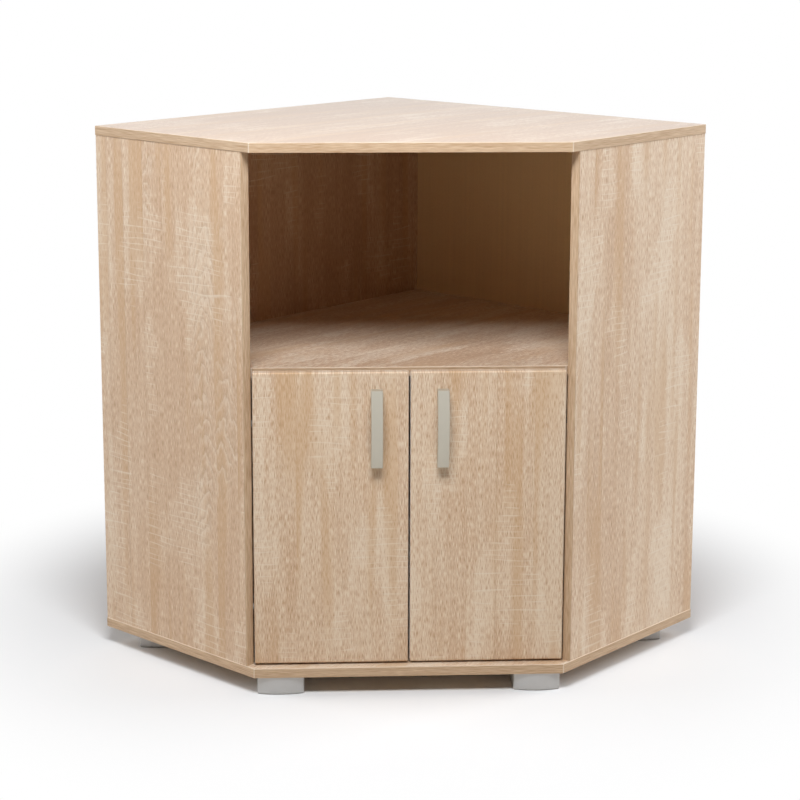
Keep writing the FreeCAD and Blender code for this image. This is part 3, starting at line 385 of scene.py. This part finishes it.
    # Pale marks: even saw lines across the grain, broken up and kept to the patches, and the arches.
    drift = streaks(tree, u, v, 2 * look.saw_reach, 4 * look.saw_pitch, 1)
    teeth = weighted_sum(tree, [(v, 1 / look.saw_pitch), (drift, 2.0)], 0.0)
    tooth = add_node(tree, "ShaderNodeMath", {0: teeth}, operation="FRACT").outputs[0]
    lines = add_node(tree, "ShaderNodeMapRange", {"Value": tooth, **SAW_LINE}, **SOFT)
    skips = streaks(tree, u, v, look.saw_reach, look.saw_pitch, 1)
    broken = add_node(tree, "ShaderNodeMapRange", {"Value": skips, **SAW_BREAK}, **SOFT)
    saw = lines.outputs[0]
    for limit in (broken.outputs[0], patch):
        saw = add_node(tree, "ShaderNodeMath", {0: saw, 1: limit}, operation="MULTIPLY").outputs[0]
    pale = add_node(tree, "ShaderNodeMath", {0: saw, 1: arches}, operation="MAXIMUM")
    marked = add_node(tree, "ShaderNodeMix", {"Factor": pale.outputs[0], 6: stained.outputs[2],
                                              7: opaque(look.pale_mark_and_highlight)}, data_type="RGBA")

    # Cut edges: chipboard, where the surface turns away from the board's face.
    faced = add_node(tree, "ShaderNodeTexCoord")
    face = tuple(np.cross(across, along))
    turn = add_node(tree, "ShaderNodeVectorMath", {0: faced.outputs["Normal"], 1: face},
                    operation="DOT_PRODUCT").outputs["Value"]
    flat = add_node(tree, "ShaderNodeMath", {0: turn}, operation="ABSOLUTE").outputs[0]
    cut = add_node(tree, "ShaderNodeMath", {0: flat, 1: 0.0 if wrapped else CUT_TURN},
                   operation="LESS_THAN").outputs[0]
    chips = add_node(tree, "ShaderNodeTexNoise", {"Vector": faced.outputs["Object"], "Scale": 1 / look.chip,
                                                  "Detail": 3.0})
    core = add_node(tree, "ShaderNodeMapRange", {"Value": chips.outputs[0], **PALE_CHIP})
    raw = add_node(tree, "ShaderNodeMix", {"Factor": core.outputs[0], 6: opaque(look.chip_dark),
                                           7: opaque(look.chip_pale)}, data_type="RGBA")
    shown = add_node(tree, "ShaderNodeMix", {"Factor": cut, 6: marked.outputs[2], 7: raw.outputs[2]},
                     data_type="RGBA")

    rough = weighted_sum(tree, [(fibre, 0.12), (cut, 0.3)], look.roughness - 0.06)
    relief = add_node(tree, "ShaderNodeBump", {"Height": pores, "Strength": 0.25, "Distance": -0.0003})
    tree.links.new(shown.outputs[2], shader.inputs["Base Color"])
    tree.links.new(rough, shader.inputs["Roughness"])
    tree.links.new(relief.outputs[0], shader.inputs["Normal"])
    shader.inputs["Sheen Weight"].default_value = look.sheen
    shader.inputs["Sheen Roughness"].default_value = 0.4
    return material


def printed_edge_band(name, look, across, along, seed, joint):
    """ABS edge band with a plain oak print: fine grain along the strip, a little greyer than the board.

    Faces of a band that turn upwards are drawn paler, a painted highlight on the upper arris where light from
    above falls. Scraped plastic is pale, so a pale line also shows at the front corners, a joint's distance
    from the middle, where two bands meet."""
    material, tree, shader = new_material(name)
    u, v = board_place(tree, across, along, seed)
    grain = streaks(tree, u, v, look.grain_width, look.grain_length, 3)
    fibre = streaks(tree, u, v, look.pore_width, 2 * look.pore_length, 2)
    tone = weighted_sum(tree, [(grain, 0.9), (fibre, 2.0)], -0.95)
    ramp = add_node(tree, "ShaderNodeValToRGB", {0: tone})
    ramp.color_ramp.elements[0].color = opaque(look.band_dark)
    ramp.color_ramp.elements[1].color = opaque(look.band_pale)

    place = add_node(tree, "ShaderNodeTexCoord")
    x = add_node(tree, "ShaderNodeSeparateXYZ", {0: place.outputs["Object"]}).outputs["X"]
    out = add_node(tree, "ShaderNodeMath", {0: x}, operation="ABSOLUTE").outputs[0]
    meeting = add_node(tree, "ShaderNodeMath", {0: out, 1: joint, 2: look.band_seam},
                       operation="COMPARE").outputs[0]
    rise = add_node(tree, "ShaderNodeSeparateXYZ", {0: place.outputs["Normal"]}).outputs["Z"]
    # Painted highlight: faces turned upwards get the pale colour, standing in for light from above on the
    # arris
    arris = add_node(tree, "ShaderNodeMapRange", {"Value": rise, **PAINTED_ARRIS_HIGHLIGHT}, **SOFT)
    seam_and_highlight = add_node(tree, "ShaderNodeMath", {0: meeting, 1: arris.outputs[0]},
                       operation="MAXIMUM").outputs[0]
    amount = add_node(tree, "ShaderNodeMath", {0: seam_and_highlight, 1: SEAM_AND_HIGHLIGHT_SHARE}, operation="MULTIPLY").outputs[0]
    shown = add_node(tree, "ShaderNodeMix", {"Factor": amount, 6: ramp.outputs[0], 7: opaque(look.pale_mark_and_highlight)},
                     data_type="RGBA")
    tree.links.new(shown.outputs[2], shader.inputs["Base Color"])
    rough = add_node(tree, "ShaderNodeMath", {0: fibre, 1: 0.15, 2: look.roughness - 0.08},
                     operation="MULTIPLY_ADD")
    tree.links.new(rough.outputs[0], shader.inputs["Roughness"])
    return material


def lacquered_hardboard(name, look):
    """Hardboard with a rolled lacquer: plain beige, with faint roller lines and specks of fibre.

    The side towards the wall is bare. It shows the brown of the pressed fibre, in lighter and darker clumps,
    and the print of the wire screen that it was pressed on. Specks and screen are finer on a real board, and
    are drawn coarser so that they show."""
    material, tree, shader = new_material(name)
    u, v = board_place(tree, TO_FRONT_RIGHT, UP, 3)
    lines = streaks(tree, u, v, look.roller_line, look.roller_reach, 2)
    specks = streaks(tree, u, v, look.speck_width, look.speck_length, 2)
    clumps = streaks(tree, u, v, look.fibre_clump, look.fibre_clump, 6)
    wires = []
    for place in (u, v):
        turns = add_node(tree, "ShaderNodeMath", {0: place, 1: 2 * math.pi / look.screen},
                         operation="MULTIPLY")
        wires.append(add_node(tree, "ShaderNodeMath", {0: turns.outputs[0]}, operation="SINE").outputs[0])
    screen = add_node(tree, "ShaderNodeMath", {0: wires[0], 1: wires[1]}, operation="MULTIPLY").outputs[0]

    # One tone for each side, chosen by the way that the surface faces.
    smooth_tone = weighted_sum(tree, [(lines, 0.10), (specks, 0.10)], 0.90)
    bare_tone = weighted_sum(tree, [(clumps, 0.6), (specks, 0.5), (screen, 0.06)], 0.45)
    normal = add_node(tree, "ShaderNodeTexCoord").outputs["Normal"]
    turn = add_node(tree, "ShaderNodeVectorMath", {0: normal, 1: tuple(TO_BACK_RIGHT)},
                    operation="DOT_PRODUCT")
    bare = add_node(tree, "ShaderNodeMath", {0: turn.outputs["Value"], 1: BARE_TURN},
                    operation="GREATER_THAN")
    smooth_side, bare_side = [
        add_node(tree, "ShaderNodeMix", {"Factor": 1.0, 6: opaque(rgb), 7: tone}, data_type="RGBA",
                 blend_type="MULTIPLY").outputs[2]
        for rgb, tone in ((look.hardboard, smooth_tone), (look.raw_hardboard, bare_tone))]
    shown = add_node(tree, "ShaderNodeMix", {"Factor": bare.outputs[0], 6: smooth_side, 7: bare_side},
                     data_type="RGBA")
    tree.links.new(shown.outputs[2], shader.inputs["Base Color"])
    dents = add_node(tree, "ShaderNodeMath", {0: screen, 1: bare.outputs[0]}, operation="MULTIPLY").outputs[0]
    height = add_node(tree, "ShaderNodeMath", {0: dents, 1: 0.4, 2: specks}, operation="MULTIPLY_ADD")
    relief = add_node(tree, "ShaderNodeBump", {"Height": height.outputs[0], "Strength": 0.2,
                                               "Distance": 0.0004})
    tree.links.new(relief.outputs[0], shader.inputs["Normal"])
    shader.inputs["Roughness"].default_value = 0.6
    return material


def speckled(name, rgb, metallic, roughness, grit, contrast):
    """A cast, plated or moulded finish: one colour, broken up by a fine grit that also scatters the gloss.

    The eye sees a soft and slightly uneven shine. Real grit is finer, and is drawn coarser so that it
    shows."""
    material, tree, shader = new_material(name)
    place = add_node(tree, "ShaderNodeTexCoord").outputs["Object"]
    fine = add_node(tree, "ShaderNodeTexNoise", {"Vector": place, "Scale": 1 / grit, "Detail": 2.0})
    broad = add_node(tree, "ShaderNodeTexNoise", {"Vector": place, "Scale": 1 / (CLOUD_GRITS * grit),
                                                  "Detail": 2.0})
    tone = weighted_sum(tree, [(fine.outputs[0], contrast), (broad.outputs[0], contrast)], 1 - contrast)
    tinted = add_node(tree, "ShaderNodeMix", {"Factor": 1.0, 6: opaque(rgb), 7: tone},
                      data_type="RGBA", blend_type="MULTIPLY")
    tree.links.new(tinted.outputs[2], shader.inputs["Base Color"])
    rough = weighted_sum(tree, [(fine.outputs[0], 0.12), (broad.outputs[0], 0.08)], roughness - 0.10)
    tree.links.new(rough, shader.inputs["Roughness"])
    relief = add_node(tree, "ShaderNodeBump", {"Height": fine.outputs[0], "Strength": 0.08,
                                               "Distance": grit / 4})
    tree.links.new(relief.outputs[0], shader.inputs["Normal"])
    shader.inputs["Metallic"].default_value = metallic
    return material


def turned_beech(name, look):
    """Beech dowel rod: straight fine grain, which the eye sees as short darker lines along a pale rod.

    Real grain is finer, and is drawn coarser so that it shows."""
    material, tree, shader = new_material(name)
    u, v = board_place(tree, TO_RIGHT, UP, 5)
    grain = streaks(tree, u, v, look.beech_width, look.beech_length, 3)
    tone = add_node(tree, "ShaderNodeMath", {0: grain, 1: 0.5, 2: 0.75}, operation="MULTIPLY_ADD")
    tinted = add_node(tree, "ShaderNodeMix", {"Factor": 1.0, 6: opaque(look.beech), 7: tone.outputs[0]},
                      data_type="RGBA", blend_type="MULTIPLY")
    tree.links.new(tinted.outputs[2], shader.inputs["Base Color"])
    shader.inputs["Roughness"].default_value = 0.65
    return material


def dress(node, material):
    """Gives a CAD node its finish."""
    mesh = frame["nodes"][node].data
    mesh.materials.clear()
    mesh.materials.append(material)


# Surfaces


def solids_of(triangles, clearance=0.0005):
    """Splits triangles into the solids that lie apart along some axis, by joining overlapping spans."""
    for axis in range(3):
        low, high = triangles[:, :, axis].min(1), triangles[:, :, axis].max(1)
        order = np.argsort(low)
        reach = np.maximum.accumulate(high[order])
        breaks = np.flatnonzero(low[order][1:] > reach[:-1] + clearance) + 1
        if len(breaks):
            return [solid for part in np.split(triangles[order], breaks) for solid in solids_of(part)]
    return [triangles]


def node_triangles(node):
    """A CAD node's triangles as an array of corners."""
    mesh = frame["nodes"][node].data
    corners = np.zeros(len(mesh.vertices) * 3)
    mesh.vertices.foreach_get("co", corners)
    mesh.calc_loop_triangles()
    index = np.zeros(len(mesh.loop_triangles) * 3, int)
    mesh.loop_triangles.foreach_get("vertices", index)
    return corners.reshape(-1, 3)[index].reshape(-1, 3, 3)


def front_corner(node):
    """How far a node's front edge reaches to either side of the middle."""
    corners = node_triangles(node).reshape(-1, 3)
    return float(corners[corners[:, 1] < corners[:, 1].min() + NEAR, 0].max())


def axis_frame(out):
    """Two directions square to an axis, so that the three make a right-handed frame."""
    side = np.cross(out, UP if abs(out[2]) < 0.5 else TO_RIGHT)
    side /= np.linalg.norm(side)
    return side, np.cross(out, side)


def thin_way(solid, directions):
    """The direction along which a solid is thinnest."""
    spans = [np.ptp(solid.reshape(-1, 3) @ direction) for direction in directions]
    return directions[int(np.argmin(spans))]


def turned_piece(solid, out):
    """A turned solid's outer face on its axis, and its head radius, head height, shank radius and length."""
    side, other = axis_frame(out)
    corners = solid.reshape(-1, 3)
    flat = np.stack([corners @ side, corners @ other], 1)
    middle = (flat.min(0) + flat.max(0)) / 2
    height = corners @ out
    radius = np.linalg.norm(flat - middle, axis=1)
    head = radius.max()
    face, tip = height.max(), height.min()
    head_height = face - height[radius > RIM_SHARE * head].min()
    shank = radius[height < tip + NEAR].max()
    return side * middle[0] + other * middle[1] + out * face, head, head_height, shank, face - tip


def cross_recess(x, y, reach, width):
    """How deep a cross-shaped recess is: 1 along the middle of an arm, and 0 past its width or its reach."""
    arm = np.minimum(np.abs(x), np.abs(y))
    along = np.hypot(x, y)
    across = np.clip((width - arm) / (WIDTH_SLOPE * width), 0, 1)
    return across * np.clip((reach - along) / (REACH_SLOPE * reach), 0, 1)


def screw_surface(solid, out, pitch, around=40, rings=15, turn_rows=6):
    """A pan-head screw: a domed head with a cross recess, then a shank with a thread and a point.

    Rows run from the head's middle to the point. The head's height is a parabola less the recess. The shank's
    radius is a cosine of the distance along it less the turn, so the crest climbs one pitch a turn."""
    face, head, head_height, shank, reach = turned_piece(solid, out)
    turn = np.linspace(0, 2 * np.pi, around, endpoint=False)
    top_radius = head * np.linspace(0.0, 1.0, rings) ** 0.8
    top_depth = DOME * head_height * (top_radius / head) ** 2
    neck_radius, neck_depth = np.array([head, shank]), np.array([head_height, head_height])
    rows = int(turn_rows * (reach - head_height) / pitch)
    thread_depth = np.linspace(head_height, reach - shank, rows)[1:]
    thread_radius = np.full(rows - 1, shank)
    radius = np.concatenate([top_radius, neck_radius, thread_radius, [0.0]])[:, None]
    depth = np.concatenate([top_depth, neck_depth, thread_depth, [reach]])[:, None]
    x, y = radius * np.cos(turn), radius * np.sin(turn)
    on_top = np.arange(len(radius))[:, None] < len(top_radius)
    recess = RECESS_DEPTH * head_height * cross_recess(x, y, RECESS_REACH * head, RECESS_WIDTH * head)
    depth = depth + np.where(on_top, recess, 0.0)
    threaded = np.arange(len(radius))[:, None] >= len(top_radius) + 2
    groove = THREAD_DEPTH * (0.5 - 0.5 * np.cos(2 * np.pi * depth / pitch - turn))
    slim = np.where(threaded & (radius > 0), 1 - groove, 1.0)
    side, other = axis_frame(out)
    points = (face + (x * slim)[..., None] * side + (y * slim)[..., None] * other
              - (depth + 0 * x)[..., None] * out)
    return lathe_faces(points)


def flat_head_surface(solid, out, rim, rise, slot_share, around=48, rings=16):
    """A low disc over a turned solid's end, a rim wider than it, with a bevel and a cross slot.

    Rows run from the disc's middle to its edge and back below it. The height is level, falls at the bevel,
    and is less by a share of the rise in the slot."""
    face, head, _, _, _ = turned_piece(solid, out)
    turn = np.linspace(0, 2 * np.pi, around, endpoint=False)
    edge = head + rim
    top = edge * np.linspace(0.0, LEVEL_PART, rings)
    radius = np.concatenate([top, [edge, edge, 0.0]])[:, None]
    height = np.concatenate([np.full(rings, rise), [BEVEL_HEIGHT * rise, 0.0, 0.0]])[:, None]
    x, y = radius * np.cos(turn), radius * np.sin(turn)
    on_top = np.arange(len(radius))[:, None] < len(top)
    slot = slot_share * rise * cross_recess(x, y, SLOT_REACH * head, SLOT_WIDTH * head)
    height = height - np.where(on_top, slot, 0.0)
    side, other = axis_frame(out)
    points = face + x[..., None] * side + y[..., None] * other + (height + 0 * x)[..., None] * out
    return lathe_faces(points)


def lathe_faces(points):
    """Vertices and quads of a closed turned surface whose first and last rows are its two poles."""
    rows, around = points.shape[:2]
    ring = np.arange((rows - 2) * around).reshape(rows - 2, around) + 1
    after = np.roll(ring, -1, axis=1)
    last = ring.size + 1
    start = np.stack([np.zeros(around, int), ring[0], after[0]], 1)
    walls = np.stack([ring[:-1], ring[1:], after[1:], after[:-1]], -1).reshape(-1, 4)
    end = np.stack([np.full(around, last), after[-1], ring[-1]], 1)
    vertices = np.concatenate([points[0, :1], points[1:-1].reshape(-1, 3), points[-1, :1]])
    return vertices, start.tolist() + walls.tolist() + end.tolist()


def joined_piece(name, surfaces, material, body, replaced=()):
    """One object from several closed surfaces, riding on a body."""
    vertices, faces, offset = [], [], 0
    for points, corners in surfaces:
        vertices.append(points)
        faces += [[index + offset for index in face] for face in corners]
        offset += len(points)
    mesh = bpy.data.meshes.new(name)
    mesh.from_pydata(np.concatenate(vertices).tolist(), [], faces)
    mesh.shade_smooth()
    mesh.set_sharp_from_angle(angle=SHARP_EDGE)
    mesh.materials.append(material)
    piece = bpy.data.objects.new(name, mesh)
    bpy.context.scene.collection.objects.link(piece)
    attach(piece, body)
    if replaced:
        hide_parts(*replaced)


# Stage


def seen_directly(tree):
    """1 for what the camera, a reflection or a see-through surface shows, 0 for light on other things."""
    path = add_node(tree, "ShaderNodeLightPath").outputs
    seen = path["Is Camera Ray"]
    for other in ("Is Glossy Ray", "Is Transmission Ray"):
        seen = add_node(tree, "ShaderNodeMath", {0: seen, 1: path[other]}, operation="MAXIMUM").outputs[0]
    return seen


def floor_sheet(look):
    """A flat floor: a square grid of points at height zero. It is matt and pale, and shows shadows to the eye
    near the object and plain white far off."""
    line = np.linspace(-FLOOR_HALF, FLOOR_HALF, FLOOR_POINTS)
    x, y = np.meshgrid(line, line)
    points = np.stack([x, y, np.zeros_like(x)], -1).reshape(-1, 3)
    grid = np.arange(len(points)).reshape(x.shape)
    faces = np.stack([grid[:-1, :-1], grid[:-1, 1:], grid[1:, 1:], grid[1:, :-1]], -1).reshape(-1, 4)
    mesh = bpy.data.meshes.new("floor")
    mesh.from_pydata(points.tolist(), [], faces.tolist())
    floor = bpy.data.objects.new("floor", mesh)
    bpy.context.scene.collection.objects.link(floor)
    material, tree, shader = new_material("matt painted floor")
    seen = seen_directly(tree)
    paint = add_node(tree, "ShaderNodeMix", {"Factor": seen, 6: opaque(look.bounce), 7: opaque(look.floor)},
                     data_type="RGBA")
    tree.links.new(paint.outputs[2], shader.inputs["Base Color"])
    shader.inputs["Roughness"].default_value = 0.9
    shader.inputs["Specular IOR Level"].default_value = 0.1
    place = add_node(tree, "ShaderNodeTexCoord").outputs["Object"]
    away = add_node(tree, "ShaderNodeVectorMath", {0: place, 1: SHADOW_MIDDLE}, operation="DISTANCE")
    far = add_node(tree, "ShaderNodeMapRange", {"Value": away.outputs["Value"], **SHADOW_FADE}, **SOFT)
    shown = add_node(tree, "ShaderNodeMath", {0: far.outputs[0], 1: seen}, operation="MULTIPLY")
    white = add_node(tree, "ShaderNodeEmission", {"Color": (1, 1, 1, 1), "Strength": 1.0})
    mixed = add_node(tree, "ShaderNodeMixShader", {0: shown.outputs[0], 1: shader.outputs[0],
                                                   2: white.outputs[0]})
    tree.links.new(mixed.outputs[0], tree.get_output_node("ALL").inputs["Surface"])
    mesh.materials.append(material)


def surroundings(scene):
    """White to the eye and in reflections, while the lamps alone light the object."""
    world = bpy.data.worlds.new("white studio")
    world.use_nodes = True
    tree = world.node_tree
    tree.nodes.clear()
    white = add_node(tree, "ShaderNodeBackground", {"Color": (1, 1, 1, 1), "Strength": seen_directly(tree)})
    add_node(tree, "ShaderNodeOutputWorld", {"Surface": white.outputs[0]})
    scene.world = world


def soft_box(name, brightness, place, width, height):
    """A soft box turned to the cabinet's middle. Its power gives the brightness at that distance.

    It shows in no reflection, only the white surroundings do, so that a board seen edge-on doesn't glare."""
    aim = (CAD_BOX[0] + CAD_BOX[1]) / 2
    lamp = bpy.data.lights.new(name, "AREA")
    lamp.shape = "RECTANGLE"
    lamp.size, lamp.size_y = width, height
    away = Vector(place) - aim
    lamp.energy = brightness * math.pi ** 2 * away.length_squared
    box = bpy.data.objects.new(name, lamp)
    box.location = place
    box.rotation_euler = away.to_track_quat("Z", "Y").to_euler()
    box.visible_camera = False
    box.visible_glossy = False
    bpy.context.scene.collection.objects.link(box)


def camera(scene, look):
    """The camera, from where it stands and how it is turned."""
    lens = bpy.data.cameras.new("camera")
    lens.sensor_width = 36
    lens.lens = look.lens
    lens.shift_y = look.rise
    eye = bpy.data.objects.new("camera", lens)
    turn = (Matrix.Rotation(-look.heading, 4, "Z") @ Matrix.Rotation(math.pi / 2 - look.dip, 4, "X")
            @ Matrix.Rotation(look.roll, 4, "Z"))
    eye.matrix_world = Matrix.Translation(look.eye) @ turn
    scene.collection.objects.link(eye)
    scene.camera = eye


# Operators


class CABINET_OT_boards(bpy.types.Operator):
    """Finish the boards, doors, edge bands and back board"""

    bl_idname = "cabinet.boards"
    bl_label = "Finish boards"

    def execute(self, context):
        look = context.scene.cabinet_boards
        # Each board's directions across and along the grain, and its lift, contrast and figure. The lift also
        # paints light and shade: the top panel is darker to offset the lamps that light it most, as painted
        # shade, the left back panel is darker as painted shade in the niche, and the bottom panel is paler as
        # painted light on its front ledge.
        boards = {
            "top_panel": (TO_FRONT_RIGHT, TO_BACK_RIGHT, -0.48, 1.2, 0.4),
            "bottom_panel": (TO_FRONT_RIGHT, TO_BACK_RIGHT, 0.34, 0.8, 0.0),
            "middle_shelf": (TO_FRONT_RIGHT, TO_BACK_RIGHT, -0.06, 1.5, 0.3),
            "left_side_panel": (TO_FRONT_RIGHT, UP, 0.09, 0.58, 1.0),
            "right_side_panel": (TO_BACK_RIGHT, UP, 0.13, 0.74, 0.5),
            "left_back_panel": (TO_BACK_RIGHT, UP, -0.17, 0.65, 0.5),
            "left_door": (TO_RIGHT, UP, 0.19, 0.66, 0.3),
            "right_door": (TO_RIGHT, UP, 0.21, 0.66, 0.4),
        }
        for seed, (node, (across, along, lift, contrast, figure)) in enumerate(boards.items(), 1):
            name = f"oak-printed melamine, {node.replace('_', ' ')}"
            wrapped = node.endswith("door")
            dress(node, sawn_oak_melamine(name, look, across, along, seed, lift, contrast, figure, wrapped))
        bands = {
            "top_edge_bands": (UP, TO_RIGHT), "bottom_edge_bands": (UP, TO_RIGHT),
            "shelf_edge_band": (UP, TO_RIGHT), "side_panel_bands": (TO_RIGHT, UP),
        }
        joint = front_corner("top_edge_bands")
        for seed, (node, (across, along)) in enumerate(bands.items(), 11):
            name = f"printed ABS band, {node.replace('_', ' ')}"
            dress(node, printed_edge_band(name, look, across, along, seed, joint))
        dress("right_back_board", lacquered_hardboard("lacquered hardboard", look))
        return {"FINISHED"}


class CABINET_OT_fittings(bpy.types.Operator):
    """Finish the handles, feet, hinges and hidden fittings"""

    bl_idname = "cabinet.fittings"
    bl_label = "Finish fittings"

    def execute(self, context):
        look = context.scene.cabinet_fittings
        # Under the last word of its nodes, each finish's colour, metallic, roughness, grit and contrast.
        finishes = {
            "handle": speckled("satin lacquered zinc", look.handle, 0.55, 0.42, 0.0006, 0.06),
            "foot": speckled("silver moulded ABS", look.foot, 0.35, 0.45, 0.0008, 0.08),
            "cup": speckled("nickel-plated steel", look.nickel, 1.0, 0.28, 0.0005, 0.06),
            "locks": speckled("raw die-cast zinc", look.cast, 1.0, 0.45, 0.0007, 0.12),
            "brads": speckled("bright drawn steel", look.zinc, 1.0, 0.35, 0.0005, 0.06),
        }
        finishes.update(dict.fromkeys(("pin", "arm", "plate"), finishes["cup"]), bolts=finishes["locks"])
        for node in frame["nodes"]:
            word = node.split("_")[-1]
            if word in finishes:
                dress(node, finishes[word])
        dress("dowels", turned_beech("turned beech", look))
        return {"FINISHED"}


class CABINET_OT_screws(bpy.types.Operator):
    """Make the cross-head screws, the faces of the cam locks and the heads of the brads"""

    bl_idname = "cabinet.screws"
    bl_label = "Make screws"

    def execute(self, context):
        look = context.scene.cabinet_fittings
        plated = speckled("zinc-plated screw steel", look.zinc, 1.0, 0.32, 0.0004, 0.08)
        heads = {"confirmat_screws": -UP, "foot_screws": -UP}
        for side, across in (("left", TO_BACK_RIGHT), ("right", TO_BACK_RIGHT * (-1, 1, 1))):
            heads[f"{side}_handle_screws"] = TO_BACK
            heads[f"{side}_hinge_cup_screws"] = TO_BACK
            heads[f"{side}_hinge_plate_screws"] = across
            heads[f"{side}_hinge_arm_screws"] = across
        for node, out in heads.items():
            surfaces = [screw_surface(solid, out, look.thread_pitch)
                        for solid in solids_of(node_triangles(node))]
            body = frame["nodes"][node]["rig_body"]
            joined_piece(f"cross_head_{node}", surfaces, plated, body, (node,))
        cast = bpy.data.materials["raw die-cast zinc"]
        ways = (-UP, TO_BACK_RIGHT, -TO_FRONT_RIGHT)
        faces = [flat_head_surface(solid, thin_way(solid, ways), look.cam_rim, look.cam_rise, CAM_SLOT_DEPTH)
                 for solid in solids_of(node_triangles("cam_locks"))]
        joined_piece("cam_lock_faces", faces, cast, "cabinet")
        steel = bpy.data.materials["bright drawn steel"]
        discs = [flat_head_surface(solid, TO_BACK_RIGHT, look.brad_rim, look.brad_rise, 0.0)
                 for solid in solids_of(node_triangles("back_board_brads"))]
        joined_piece("brad_heads", discs, steel, "cabinet")
        return {"FINISHED"}


class CABINET_OT_stage(bpy.types.Operator):
    """Set up the floor, the lamps and the camera"""

    bl_idname = "cabinet.stage"
    bl_label = "Set up stage"

    def execute(self, context):
        look = context.scene.cabinet_stage
        floor_sheet(look)
        surroundings(context.scene)
        soft_box("key lamp", look.key, place=(-0.15, -1.3, 2.05), width=1.0, height=0.6)
        soft_box("left lamp", look.left, place=(-2.8, 0.3, 1.5), width=1.4, height=2.0)
        soft_box("right lamp", look.right, place=(2.8, 0.3, 1.5), width=1.4, height=2.0)
        soft_box("back lamp", look.back, place=(0.0, 2.8, 1.6), width=2.0, height=1.4)
        camera(context.scene, look)
        context.scene.view_settings.view_transform = "Standard"
        return {"FINISHED"}


# Sidebar and order of steps


class CABINET_PT_sidebar(bpy.types.Panel):
    """The cabinet's settings and steps"""

    bl_idname = "CABINET_PT_sidebar"
    bl_label = "Corner cabinet"
    bl_space_type = "VIEW_3D"
    bl_region_type = "UI"
    bl_category = "Cabinet"

    def draw(self, context):
        for operator, group in STEPS:
            box = self.layout.box()
            settings = getattr(context.scene, group)
            for name in settings.bl_rna.properties.keys():
                if name not in ("rna_type", "name"):
                    box.prop(settings, name)
            box.operator(operator.bl_idname)


STEPS = (
    (CABINET_OT_boards, "cabinet_boards"),
    (CABINET_OT_fittings, "cabinet_fittings"),
    (CABINET_OT_screws, "cabinet_fittings"),
    (CABINET_OT_stage, "cabinet_stage"),
)
GROUPS = {
    "cabinet_boards": CabinetBoardSettings,
    "cabinet_fittings": CabinetFittingSettings,
    "cabinet_stage": CabinetStageSettings,
}


def register():
    for name, group in GROUPS.items():
        bpy.utils.register_class(group)
        setattr(bpy.types.Scene, name, bpy.props.PointerProperty(type=group))
    for operator, _ in STEPS:
        bpy.utils.register_class(operator)
    bpy.utils.register_class(CABINET_PT_sidebar)


def unregister():
    bpy.utils.unregister_class(CABINET_PT_sidebar)
    for operator, _ in reversed(STEPS):
        bpy.utils.unregister_class(operator)
    for name, group in GROUPS.items():
        delattr(bpy.types.Scene, name)
        bpy.utils.unregister_class(group)


def main():
    """Runs every step in order."""
    register()
    bpy.ops.cabinet.boards()
    bpy.ops.cabinet.fittings()
    bpy.ops.cabinet.screws()
    bpy.ops.cabinet.stage()


if __name__ == "__main__":
    main()
